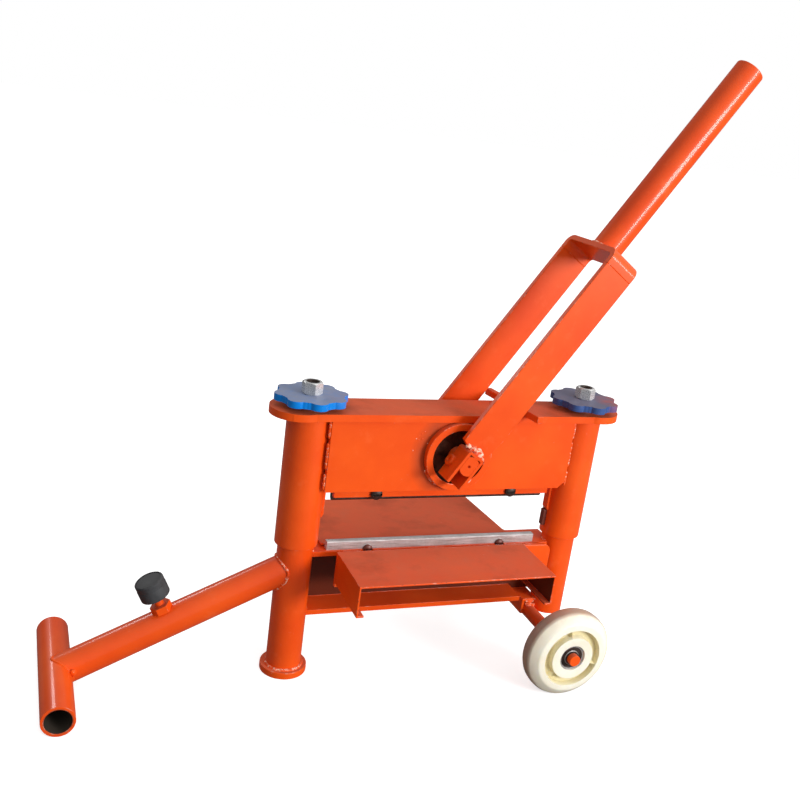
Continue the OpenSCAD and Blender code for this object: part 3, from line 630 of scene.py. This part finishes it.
# --- Painted steel structure ---

def structure():
    widths = {
        "foot_disc": 1.2, "column_left": 0.6, "column_right": 0.6, "leg_tube": 0.5, "foot_tube": 0.8,
        "buffer_stud": 0.8, "beam": 1.5, "cheek_plate": 1.0, "cheek_spacers": 0.8, "front_table": 0.8,
        "rear_table": 0.9, "rear_table_ribs": 0.8, "axle_bracket": 0.8, "axle": 1.0,
        "deck_plate": 1.3, "sleeve_left": 0.9, "sleeve_right": 0.9, "side_plate_front": 1.0,
        "side_plate_rear": 1.0, "bearing_ring_front": 1.2, "bearing_ring_rear": 1.2,
        "guide_left": 1.0, "guide_right": 1.0, "rest_bar": 1.2, "blade_holder": 1.0,
        "fork_front": 0.8, "fork_rear": 0.8, "arm_front": 1.0, "arm_rear": 1.0, "bridge": 1.0,
        "handle_tube": 0.8,
    }
    coats = {
        "beam": CHANNEL_SHADED_INSIDE, "cheek_plate": CLEAN, "axle_bracket": CLEAN, "front_table": TABLE_SHADED_INSIDE,
        "leg_tube": TUBE, "handle_tube": TUBE, "foot_tube": FOOT, "column_left": TUBE, "column_right": TUBE,
        "sleeve_left": TUBE, "sleeve_right": TUBE, "bridge": TUBE,
        "side_plate_front": RING_SHADOW_PAINT, "side_plate_rear": RING_SHADOW_PAINT,
        "bearing_ring_front": GREASY_SHADED_BORE, "bearing_ring_rear": GREASY_SHADED_BORE,
    }
    for node, width in widths.items():
        knocked = node in ("handle_tube", "foot_tube", "front_table")
        softened(node, coats.get(node, PAINT), KNOCKED if knocked else EDGE, width * MM)


structure()


# --- Steel parts ---

def steel_parts():
    for node in ("column_nut_left", "column_nut_right", "thrust_washers", "cam_pad", "cam",
                 "bearing_inner_rings"):
        softened(node, STEEL, STEEL, 0.5 * MM)
    softened("cam_shaft", PAINT, EDGE, 0.8 * MM)
    softened("lower_blade", BLADE, BLADE, 0.4 * MM)
    for node in ("upper_blade", "axle_clips"):
        softened(node, BLACK, BLACK, 0.4 * MM)
    softened("guide_stop", BROWN, BROWN, 0.6 * MM)
    for node in ("bush_front", "bush_rear"):
        softened(node, BRONZE, BRONZE, 0.5 * MM)
    for node in ("lead_screw_left", "lead_screw_right"):
        softened(node, ZINC, ZINC, 0.6 * MM)


steel_parts()


def coil_springs():
    """Two closely wound return springs under the deck."""
    low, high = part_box("return_springs")
    wire = 1.5 * MM
    mean_r = (high.y - low.y) / 2 - wire
    turns, per_turn, sides = 14, 24, 10
    parts = []
    for x in (low.x + mean_r + wire, high.x - mean_r - wire):
        path = []
        for i in range(turns * per_turn + 1):
            a = 2 * math.pi * i / per_turn
            z = low.z + wire + (high.z - low.z - 2 * wire) * i / (turns * per_turn)
            path.append(Vector((x + mean_r * math.cos(a), mean_r * math.sin(a), z)))
        points, faces = [], []
        for i, here in enumerate(path):
            out = Vector((here.x - x, here.y, 0)).normalized()
            for k in range(sides):
                a = 2 * math.pi * k / sides
                points.append(here + (out * math.cos(a) + Z_AXIS * math.sin(a)) * wire)
        for i in range(len(path) - 1):
            for k in range(sides):
                j = (k + 1) % sides
                faces.append((i * sides + k, i * sides + j, (i + 1) * sides + j, (i + 1) * sides + k))
        faces.append(tuple(range(sides)))
        faces.append(tuple(range((len(path) - 1) * sides, len(path) * sides)))
        parts.append((points, faces, [0] * len(faces)))
    piece("spring_coils", "head", parts, [STEEL], ["return_springs"])


coil_springs()


# --- Fasteners ---

def hex_radius(across_flats, limit):
    """Radius of a hexagon at an angle, cut off at a limit, which gives a nut its chamfer curves."""
    def radius(a):
        turn = (a + math.pi / 6) % (math.pi / 3) - math.pi / 6
        return min(across_flats / 2 / math.cos(turn), limit)
    return radius


def nut(origin, direction, across_flats, height, bore_r, thread_from, pitch=2.5 * MM):
    """A chamfered hex nut as one closed turned part; its threaded bore takes material 1."""
    corner = across_flats / 2 / math.cos(math.pi / 6)
    rings = [(across_flats / 2 * 0.98, 0.0, 0)]
    for i in range(5):
        t = i / 4
        limit = across_flats / 2 * 0.98 + (corner - across_flats / 2 * 0.98) * t
        rings.append((hex_radius(across_flats, limit), 0.1 * MM + 2.0 * MM * t, 0))
    for i in range(5):
        t = 1 - i / 4
        limit = across_flats / 2 * 0.98 + (corner - across_flats / 2 * 0.98) * t
        rings.append((hex_radius(across_flats, limit), height - 0.1 * MM - 2.0 * MM * t, 0))
    rings.append((across_flats / 2 * 0.98, height, 0))
    rings.append((bore_r + 1.0 * MM, height, 1))
    depth = height - thread_from
    steps = max(4, round(depth / (pitch / 6)))

    def threaded(z):
        return lambda a: bore_r - 0.8 * MM * abs(((z / pitch + a / (2 * math.pi)) % 1) * 2 - 1)
    for i in range(steps + 1):
        z = height - 0.8 * MM - (depth - 0.8 * MM) * i / steps
        rings.append((threaded(z), z, 1))
    rings.append((bore_r, thread_from, 1))
    rings.append((bore_r, 0.0, 0))
    return turned(origin, direction, rings, segments=96, closed=True)


def handwheel_nuts():
    for side, x in zip(("left", "right"), COLUMNS):
        node = "handwheel_nut_" + side
        low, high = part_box(node)
        screw_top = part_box("lead_screw_" + side)[1].z
        part = nut(Vector((x, 0, low.z)), Z_AXIS, high.y - low.y, high.z - low.z, 10 * MM, screw_top - low.z)
        piece("hex_" + node, "adjuster_" + side, [part], [ZINC, BLACK], [node], 25)


handwheel_nuts()


def domed_bolt(origin, direction, radius, height, slot_w):
    """A pan head whose driver slot is a hollow across its crown."""
    def crown(share):
        def rise(a):
            r = radius * share
            across = abs(r * math.sin(a))
            level = height * (1 - 0.42 * share ** 2.6)
            return level - (2.2 * MM if across < slot_w and share < 0.86 else 0.0)
        return rise
    rings = [(radius, 0.0, 0), (radius, height * 0.45, 0), (radius * 0.985, height * 0.56, 0)]
    rings += [(radius * share, crown(share), 0) for share in (0.95, 0.87, 0.8, 0.65, 0.5, 0.35, 0.2, 0.08)]
    rings.append((0, height - 2.2 * MM, 0))
    return turned(origin, direction, rings, segments=64)


def blade_bolts():
    """Slotted heads on both blades, and plain nuts behind the holder."""
    low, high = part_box("upper_blade_bolts")
    holder_front, holder_back = (corner.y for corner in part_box("blade_holder"))
    head_r = (high.z - low.z) / 2
    shank_r, nut_width = 4 * MM, 17 * MM
    parts = []
    for x in (low.x + head_r, high.x - head_r):
        front = Vector((x, holder_front, (low.z + high.z) / 2))
        back = Vector((x, holder_back, front.z))
        parts.append(domed_bolt(front, -Y_AXIS, head_r, holder_front - low.y, 1.3 * MM))
        parts.append(rod(front, Y_AXIS, shank_r, high.y - holder_front))
        parts.append(nut(back, Y_AXIS, nut_width, high.y - holder_back, shank_r, 2 * MM))
    piece("upper_bolts", "blade_carrier", parts, [BLACK, BLACK], ["upper_blade_bolts"], 30)
    low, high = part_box("lower_blade_bolts")
    blade_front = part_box("lower_blade")[0].y
    head_r = (high.z - low.z) / 2
    parts = []
    for x in (low.x + head_r, high.x - head_r):
        front = Vector((x, blade_front, (low.z + high.z) / 2))
        parts.append(domed_bolt(front, -Y_AXIS, head_r, blade_front - low.y, 0.9 * MM))
        parts.append(rod(front, Y_AXIS, 3.5 * MM, high.y - blade_front))
    piece("lower_bolts", "base", parts, [BROWN], ["lower_blade_bolts"], 30)


blade_bolts()


def fork_cross_bolts():
    """Round heads with a drilled recess on the fork's left leg, painted over."""
    head_r, head_h, shank_r = 10 * MM, 6 * MM, 5 * MM
    leg, drop, reach = 17 * MM, -11 * MM, 62 * MM
    parts = []
    for y in (-reach, reach):
        start = on_lever(drop, -leg, y)
        corners = [(head_r, 0.0, 0.0, 0), (head_r, head_h, 1.6 * MM, 0),
                   (4.2 * MM, head_h, 0.6 * MM, 0), (3.6 * MM, head_h - 3.5 * MM, 0.0, 0)]
        rings = [(0, 0.0, 0)] + fillet(corners) + [(0, head_h - 4.5 * MM, 0)]
        parts.append(turned(start, -LEVER_SIDE, rings))
        parts.append(rod(start, LEVER_SIDE, shank_r, 2 * leg, 32))
    piece("cross_bolts", "lever", parts, [PAINT], ["fork_bolts"])


fork_cross_bolts()


# --- Handwheels ---

def handwheels():
    colours = {
        "left": ((0.0, 0.21, 0.70), (0.27, 0.29, 0.38), 0.15),
        "right": ((0.04, 0.085, 0.25), (0.17, 0.16, 0.22), 1.0),
    }
    for side in ("left", "right"):
        low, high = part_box("handwheel_" + side)
        spray_at = Vector((high.x - 6 * MM, low.y * 0.35, high.z))
        rim, face, spray = colours[side]
        material = moulded_blue("blue_plastic_" + side, rim, face, spray, spray_at)
        softened("handwheel_" + side, material, material, 1.6 * MM, 3)


handwheels()


# --- Wheels ---

def wheel(side, front):
    """A cast nylon wheel: crowned tread, rounded shoulders, a recess with three ribs and a raised hub."""
    node = "wheel_" + side
    low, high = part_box(node)
    centre = (low + high) / 2
    radius = (high.z - low.z) / 2
    half = (high.y - low.y) / 2
    material = nylon("cream_nylon_" + side, centre, radius)
    hub_r, recess_r, depth = 39 * MM, 53 * MM, 11 * MM

    def floor(a):
        rib = max(0.0, math.cos(3 * (a - 1.75)))
        return half - depth + depth * 0.75 * rib ** 60
    outline = [(BEARING_SEAT_R, 0.0, 0, 0), (BEARING_SEAT_R, half, 1.2 * MM, 0), (hub_r, half, 2.5 * MM, 0),
               (hub_r + 1.5 * MM, floor, 0, 0), (recess_r - 2.0 * MM, floor, 0, 0),
               (recess_r, half * 0.98, 3 * MM, 0), (radius * 0.80, half * 0.94, 8 * MM, 0),
               (radius * 0.965, half * 0.50, 9 * MM, 0), (radius * 0.992, half * 0.30, 1.0 * MM, 0),
               (radius, 0.0, 0, 0)]
    rings = []
    for k, corner in enumerate(outline):
        before, after = outline[k - 1], outline[(k + 1) % len(outline)]
        ribbed = any(callable(near[1]) for near in (before, corner, after))
        if corner[2] > 0 and not ribbed:
            rings += fillet([before[:2] + (0, 0), corner, after[:2] + (0, 0)])[1:-1]
        else:
            rings.append((corner[0], corner[1], corner[3]))
    mirrored = []
    for ring_r, height, band in reversed(rings[1:-1]):
        lower = (lambda h: lambda a: -h(-a))(height) if callable(height) else -height
        mirrored.append((ring_r, lower, band))
    outward = -Y_AXIS if front else Y_AXIS
    part = turned(centre, outward, rings + mirrored, segments=144, closed=True)
    piece("cast_" + node, node + "_assembly", [part], [material], [node], 32)


def bearing(side):
    """A sealed ball bearing in each face of the hub: outer race, black seal and a steel lip."""
    node = "bearing_outer_" + side
    low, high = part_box(node)
    centre = (low + high) / 2
    outer = (high.z - low.z) / 2
    width = 14 * MM
    race = outer - 3.2 * MM
    lip = 13.56 * MM
    parts = []
    for face, outward in ((low.y, -Y_AXIS), (high.y, Y_AXIS)):
        start = Vector((centre.x, face, centre.z)) - outward * width
        corners = [(lip, width * 0.1, 0, 1), (lip, width - 0.6 * MM, 0.3 * MM, 1),
                   (lip + 1.2 * MM, width - 0.5 * MM, 0.2 * MM, 1),
                   (race - 0.8 * MM, width - 1.1 * MM, 0.2 * MM, 1), (race, width - 0.9 * MM, 0.1 * MM, 0),
                   (race, width, 0.3 * MM, 0), (outer, width, 0.6 * MM, 0),
                   (outer, 0.0, 0.6 * MM, 0), (lip, 0.0, 0.0, 0)]
        parts.append(turned(start, outward, fillet(corners, 3), closed=True))
    piece("sealed_" + node, "wheel_" + side + "_assembly", parts, [STEEL, BLACK], [node])


for side, front in (("front", True), ("rear", False)):
    wheel(side, front)
    bearing(side)


# --- Rubber buffer ---

def buffer():
    """A moulded rubber pad with a rounded rim, a waist line and a shallow dished top."""
    low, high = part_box("buffer_pad")
    base = (low + high) / 2 - LEG_UP * BUFFER_H / 2
    corners = [(BUFFER_R - 1.5 * MM, 0.0, 0.0, 0), (BUFFER_R, 1.8 * MM, 1.2 * MM, 0),
               (BUFFER_R, BUFFER_H * 0.60, 0.0, 0), (BUFFER_R - 0.5 * MM, BUFFER_H * 0.62, 0.2 * MM, 0),
               (BUFFER_R - 0.3 * MM, BUFFER_H - 2.5 * MM, 2.5 * MM, 0),
               (BUFFER_R - 4 * MM, BUFFER_H, 1.5 * MM, 0)]
    dish = [(BUFFER_R * 0.45, BUFFER_H - 0.7 * MM, 0), (0, BUFFER_H - 0.9 * MM, 0)]
    part = turned(base, LEG_UP, [(0, 0.0, 0)] + fillet(corners)[1:] + dish)
    piece("rubber_buffer", "base", [part], [RUBBER], ["buffer_pad"])


buffer()


# --- Welds ---

def leg_saddle(radius, hit):
    """Points where the leg tube meets another tube; hit(across, y) gives the distance up the leg."""
    path = []
    for i in range(72):
        a = 2 * math.pi * i / 72
        across = radius * math.cos(a)
        y = radius * math.sin(a)
        path.append(FOOT_TUBE + LEG_UP * across + Y_AXIS * y + LEG * hit(across, y))
    return path


def base_welds():
    foot_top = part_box("foot_disc")[1].z
    parts = [bead(ring_path(Vector((0, 0, foot_top)), Z_AXIS, COLUMN_R + 1.0 * MM), 6 * MM, True, 3)]

    def to_column(across, y):
        start = FOOT_TUBE.x + LEG_UP.x * across
        return (-math.sqrt(COLUMN_R ** 2 - y ** 2) - start) / LEG.x

    def to_foot_tube(across, _):
        return math.sqrt(max(0.0, FOOT_TUBE_R ** 2 - across ** 2))
    parts.append(bead(leg_saddle(LEG_R + 0.6 * MM, to_column), 5.5 * MM, True, 5))
    drop_at = FOOT_TUBE + LEG * 29 * MM + LEG_UP * 2 * MM - Y_AXIS * 26 * MM
    painted = [bead(leg_saddle(LEG_R - 0.4 * MM, to_foot_tube), 4.5 * MM, True, 8),
               lump(drop_at, (5 * MM, 4 * MM, 6 * MM), 15)]
    # The pad's underside and the ring of weld, from the leg's centre line
    pad_from_leg, ring_from_leg = 52 * MM, 25 * MM
    stud_at = middle("buffer_pad") - LEG_UP * (BUFFER_H / 2 + pad_from_leg - ring_from_leg)
    parts.append(bead(ring_path(stud_at, LEG_UP, 7.5 * MM), 3 * MM, True, 9))
    beam_low, beam_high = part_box("beam")
    seam, steps = 24 * MM, 12
    for x, sign in ((COLUMNS[0], 1), (COLUMNS[1], -1)):
        for z in (beam_low.z - 0.5 * MM, beam_low.z + 9.5 * MM, beam_high.z + 0.3 * MM):
            path = []
            for i in range(steps + 1):
                y = beam_low.y + 2 * MM + seam * i / steps
                path.append(Vector((x + sign * math.sqrt(COLUMN_R ** 2 - y ** 2), y, z)))
            parts.append(bead(path, 4 * MM, False, 11))
        back = Vector((x + sign * 19 * MM, beam_high.y - 12 * MM, 0))
        parts.append(bead([back + Z_AXIS * (beam_low.z + 6 * MM), back + Z_AXIS * (beam_high.z - 6 * MM)],
                          13 * MM, False, 13, 3.6 * MM))
    piece("base_welds", "base", parts, [WELD], smooth_angle=60)
    piece("foot_welds", "base", painted, [CLEAN], smooth_angle=60)


base_welds()


def table_welds():
    """Short runs that hold the tables, ribs, spacers and axle bracket."""
    cheek_low, cheek_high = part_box("cheek_plate")
    table_low, table_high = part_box("front_table")
    beam_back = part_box("beam")[1].y
    ribs_low, ribs_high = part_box("rear_table_ribs")
    table_runs = ((185 * MM, 200 * MM), (208 * MM, 222 * MM))
    rib_foot, rib_top = 152 * MM, 220 * MM
    parts = []
    for x in (table_low.x + 3.5 * MM, table_high.x - 3.5 * MM):
        corner = Vector((x, cheek_low.y - 0.5 * MM, 0))
        for foot, top in table_runs:
            parts.append(bead([corner + Z_AXIS * foot, corner + Z_AXIS * top], 3.5 * MM, False, 17))
    for x in (ribs_low.x, ribs_low.x + 6 * MM, ribs_high.x - 6 * MM, ribs_high.x):
        corner = Vector((x, beam_back + 0.5 * MM, 0))
        parts.append(bead([corner + Z_AXIS * rib_foot, corner + Z_AXIS * rib_top], 3.5 * MM, False, 19))
    spacer_low, spacer_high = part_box("cheek_spacers")
    for x in (spacer_low.x, middle("cheek_spacers").x - 15 * MM, spacer_high.x - 30 * MM):
        start = Vector((x + 2 * MM, cheek_high.y + 0.5 * MM, spacer_high.z))
        parts.append(bead([start, start + X_AXIS * 26 * MM], 3.5 * MM, False, 23))
    bracket_low, bracket_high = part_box("axle_bracket")
    bar = middle("axle")
    bar_r = size("axle").z / 2
    for y, long in ((bracket_low.y + 2 * MM, 9 * MM), (bracket_high.y - 9 * MM, 8 * MM)):
        start = Vector((bar.x - bar_r * 0.2, y, bar.z + bar_r * 0.98 + 1.5 * MM))
        parts.append(lump(start, (8 * MM, long * 0.7, 5.5 * MM), 4))
        parts.append(lump(start + Vector((6, -3, -1)) * MM, (5 * MM, 5 * MM, 4.5 * MM), 6))
    seam = [Vector((x, bracket_low.y, bracket_high.z - 5 * MM))
            for x in (bracket_low.x + 6 * MM, bracket_high.x - 6 * MM)]
    parts.append(bead(seam, 4 * MM, False, 29))
    piece("table_welds", "base", parts, [WELD], smooth_angle=60)


table_welds()


def head_welds():
    """Seams of the head: side plates to sleeves, sleeves to deck, rings to plates, rest bar to deck, and a
    painted shadow line under the deck.
    """
    plate_low, plate_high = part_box("side_plate_front")
    deck_low, deck_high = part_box("deck_plate")
    sleeve_r = size("sleeve_left").x / 2
    ring_r = size("bearing_ring_front").x / 2 + 0.8 * MM
    plate_runs = ((344 * MM, 372 * MM), (380 * MM, 425 * MM), (432 * MM, 461 * MM))
    parts = []
    for side in (1, -1):
        y = side * plate_low.y
        for x, seed in ((plate_low.x - 1.5 * MM, 31), (plate_high.x + 1.5 * MM, 37)):
            for more, run in enumerate(plate_runs):
                ends = [Vector((x, y + side * 3.5 * MM, z)) for z in run]
                parts.append(bead(ends, 5 * MM, False, seed + more))
        face = Vector((PIVOT.x, y - side * 0.3 * MM, PIVOT.z))
        for start, end in ((150, 205), (225, 262), (300, 335)):
            parts.append(bead(ring_path(face, Y_AXIS, ring_r, start, end, 24), 4 * MM, False, start))
    for x in COLUMNS:
        under_deck = Vector((x, 0, deck_low.z - 0.3 * MM))
        parts.append(bead(ring_path(under_deck, Z_AXIS, sleeve_r + 0.6 * MM), 4 * MM, True, 41))
    skew = Matrix.Rotation(math.radians(8), 4, "Z")
    bar = middle("rest_bar")
    for x in (-6.5 * MM, 6.5 * MM):
        for y in (-41 * MM, 19 * MM):
            ends = [Vector((x, y, 0)), Vector((x, y + 22 * MM, 0))]
            run = [Vector((bar.x, bar.y, deck_high.z + 0.5 * MM)) + skew @ end for end in ends]
            parts.append(bead(run, 4 * MM, False, 43))
    piece("head_welds", "head", parts, [WELD], smooth_angle=60)
    # Thin dark strips under the deck's edge along both side plates: a painted shadow line where deck and
    # plate meet.
    seams = []
    for y in (plate_low.y, -plate_low.y):
        ends = [Vector((x, y, deck_low.z)) for x in (plate_low.x + 3 * MM, plate_high.x - 3 * MM)]
        seams.append(bead(ends, 1.8 * MM, False, 45, 9 * MM, 6))
    piece("head_seam_shadow_strips", "head", seams, [BROWN], smooth_angle=60)


head_welds()


def lever_welds():
    """Heavy blobs between fork and arms, and the ring that holds the handle tube."""
    bridge_out = (middle("handle_tube") - PIVOT).dot(LEVER) - HANDLE_LEN / 2
    parts = [bead(ring_path(on_lever(bridge_out + 0.5 * MM), LEVER, 26.0 * MM), 6 * MM, True, 47)]
    # Each blob: millimetres along the lever and across it, its three radii and its seed
    blobs = ((27, -9, (6, 5, 5), 2), (28, 1, (7, 5.5, 5.5), 3), (25, 9, (7, 6, 6.5), 5),
             (19, 17, (6, 5, 7), 7), (26, -18, (5, 4, 4), 9), (-17, 20, (6, 5, 8), 11))
    for y in (-77.5 * MM, 77.5 * MM):
        for along, across, radii, seed in blobs:
            parts.append(lump(on_lever(along * MM, across * MM, y), [r * MM for r in radii], seed))
    piece("lever_welds", "lever", parts, [BARE_WELD], smooth_angle=60)


lever_welds()


def spatter():
    """A few stray drops of weld metal left on the head's front plate."""
    rng = random.Random(12)
    plate_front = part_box("side_plate_front")[0].y
    parts = []
    for _ in range(9):
        at = Vector((PIVOT.x - rng.uniform(52, 82) * MM, plate_front, PIVOT.z + rng.uniform(5, 42) * MM))
        r = rng.uniform(0.7, 1.9) * MM
        parts.append(lump(at, (r, r * 0.6, r), rng.randint(1, 40), 2))
    piece("spatter", "head", parts, [WELD], smooth_angle=60)


spatter()


# --- Camera, light and floor ---

def look():
    """The camera stands left of the machine and above it, turned a little and tilted to one side."""
    stand = Vector((-0.4423, -1.4248, 0.9503))
    yaw, pitch, roll = (math.radians(a) for a in (22.61, -16.71, 7.73))
    forward = Vector((math.sin(yaw) * math.cos(pitch), math.cos(yaw) * math.cos(pitch), math.sin(pitch)))
    level = Vector((math.cos(yaw), -math.sin(yaw), 0))
    upright = level.cross(forward)
    right = level * math.cos(roll) + upright * math.sin(roll)
    up = upright * math.cos(roll) - level * math.sin(roll)
    data = bpy.data.cameras.new("camera")
    data.sensor_width = 36
    data.lens = 44.23
    data.clip_start = 0.05
    data.clip_end = 100
    camera = bpy.data.objects.new("camera", data)
    scene.collection.objects.link(camera)
    turn = Matrix((right, up, -forward)).transposed().to_4x4()
    camera.matrix_world = Matrix.Translation(stand) @ turn
    scene.camera = camera


look()


def lamp(name, at, target, width, power):
    data = bpy.data.lights.new(name, "AREA")
    data.shape = "RECTANGLE"
    data.size = width
    data.size_y = width * 0.7
    data.energy = power
    made = bpy.data.objects.new(name, data)
    scene.collection.objects.link(made)
    made.location = at
    made.rotation_mode = "QUATERNION"
    made.rotation_quaternion = (Vector(target) - Vector(at)).to_track_quat("-Z", "Y")


def studio():
    """A soft key from the right of the camera, a sky that is brightest that way, and a pale floor."""
    lamp("key", at=(2.1, -2.7, 1.1), target=(0.15, 0, 0.42), width=1.3, power=92)
    lamp("back", at=(-1.3, 2.6, 1.9), target=(0.0, 0, 0.3), width=0.9, power=20)
    brightest = Vector((0.50, -0.60, 0.62))
    world = bpy.data.worlds.new("studio")
    world.use_nodes = True
    nodes = world.node_tree.nodes
    links = world.node_tree.links
    sky = nodes["Background"]
    sky.inputs["Color"].default_value = (1, 1, 1, 1)
    direction = nodes.new("ShaderNodeTexCoord")
    facing = nodes.new("ShaderNodeVectorMath")
    facing.operation = "DOT_PRODUCT"
    facing.inputs[1].default_value = brightest.normalized()
    glow = nodes.new("ShaderNodeMapRange")
    for socket, value in (("From Min", -0.5), ("From Max", 1.0), ("To Min", 0.12), ("To Max", 1.0)):
        glow.inputs[socket].default_value = value
    links.new(direction.outputs["Generated"], facing.inputs[0])
    links.new(facing.outputs["Value"], glow.inputs["Value"])
    links.new(glow.outputs["Result"], sky.inputs["Strength"])
    backdrop = nodes.new("ShaderNodeBackground")
    backdrop.inputs["Color"].default_value = (1, 1, 1, 1)
    seen = nodes.new("ShaderNodeLightPath")
    choose = nodes.new("ShaderNodeMixShader")
    links.new(seen.outputs["Is Camera Ray"], choose.inputs[0])
    links.new(sky.outputs[0], choose.inputs[1])
    links.new(backdrop.outputs[0], choose.inputs[2])
    links.new(choose.outputs[0], nodes["World Output"].inputs["Surface"])
    scene.world = world
    s = Shading("pale_floor", (0.8, 0.8, 0.8), Roughness=0.9, Specular_IOR_Level=0.0)
    to_camera = s.add("ShaderNodeLightPath").outputs["Is Camera Ray"]
    pale = s.mix(s.noise(1.5, 2), (0.78, 0.78, 0.78), (0.81, 0.81, 0.81))
    s.set("Base Color", s.mix(to_camera, (0.24, 0.23, 0.22), pale))
    s.set("Emission Color", (1.0, 1.0, 1.0))
    s.set("Emission Strength", s.steps(to_camera, 0.0, 1.0, 0.0, 0.66))
    mesh = bpy.data.meshes.new("floor")
    reach = 30
    corners = [(-reach, -reach, 0), (reach, -reach, 0), (reach, reach, 0), (-reach, reach, 0)]
    mesh.from_pydata(corners, [], [(0, 1, 2, 3)])
    mesh.materials.append(s.material)
    floor = bpy.data.objects.new("floor", mesh)
    scene.collection.objects.link(floor)


studio()
scene.view_settings.view_transform = "Standard"
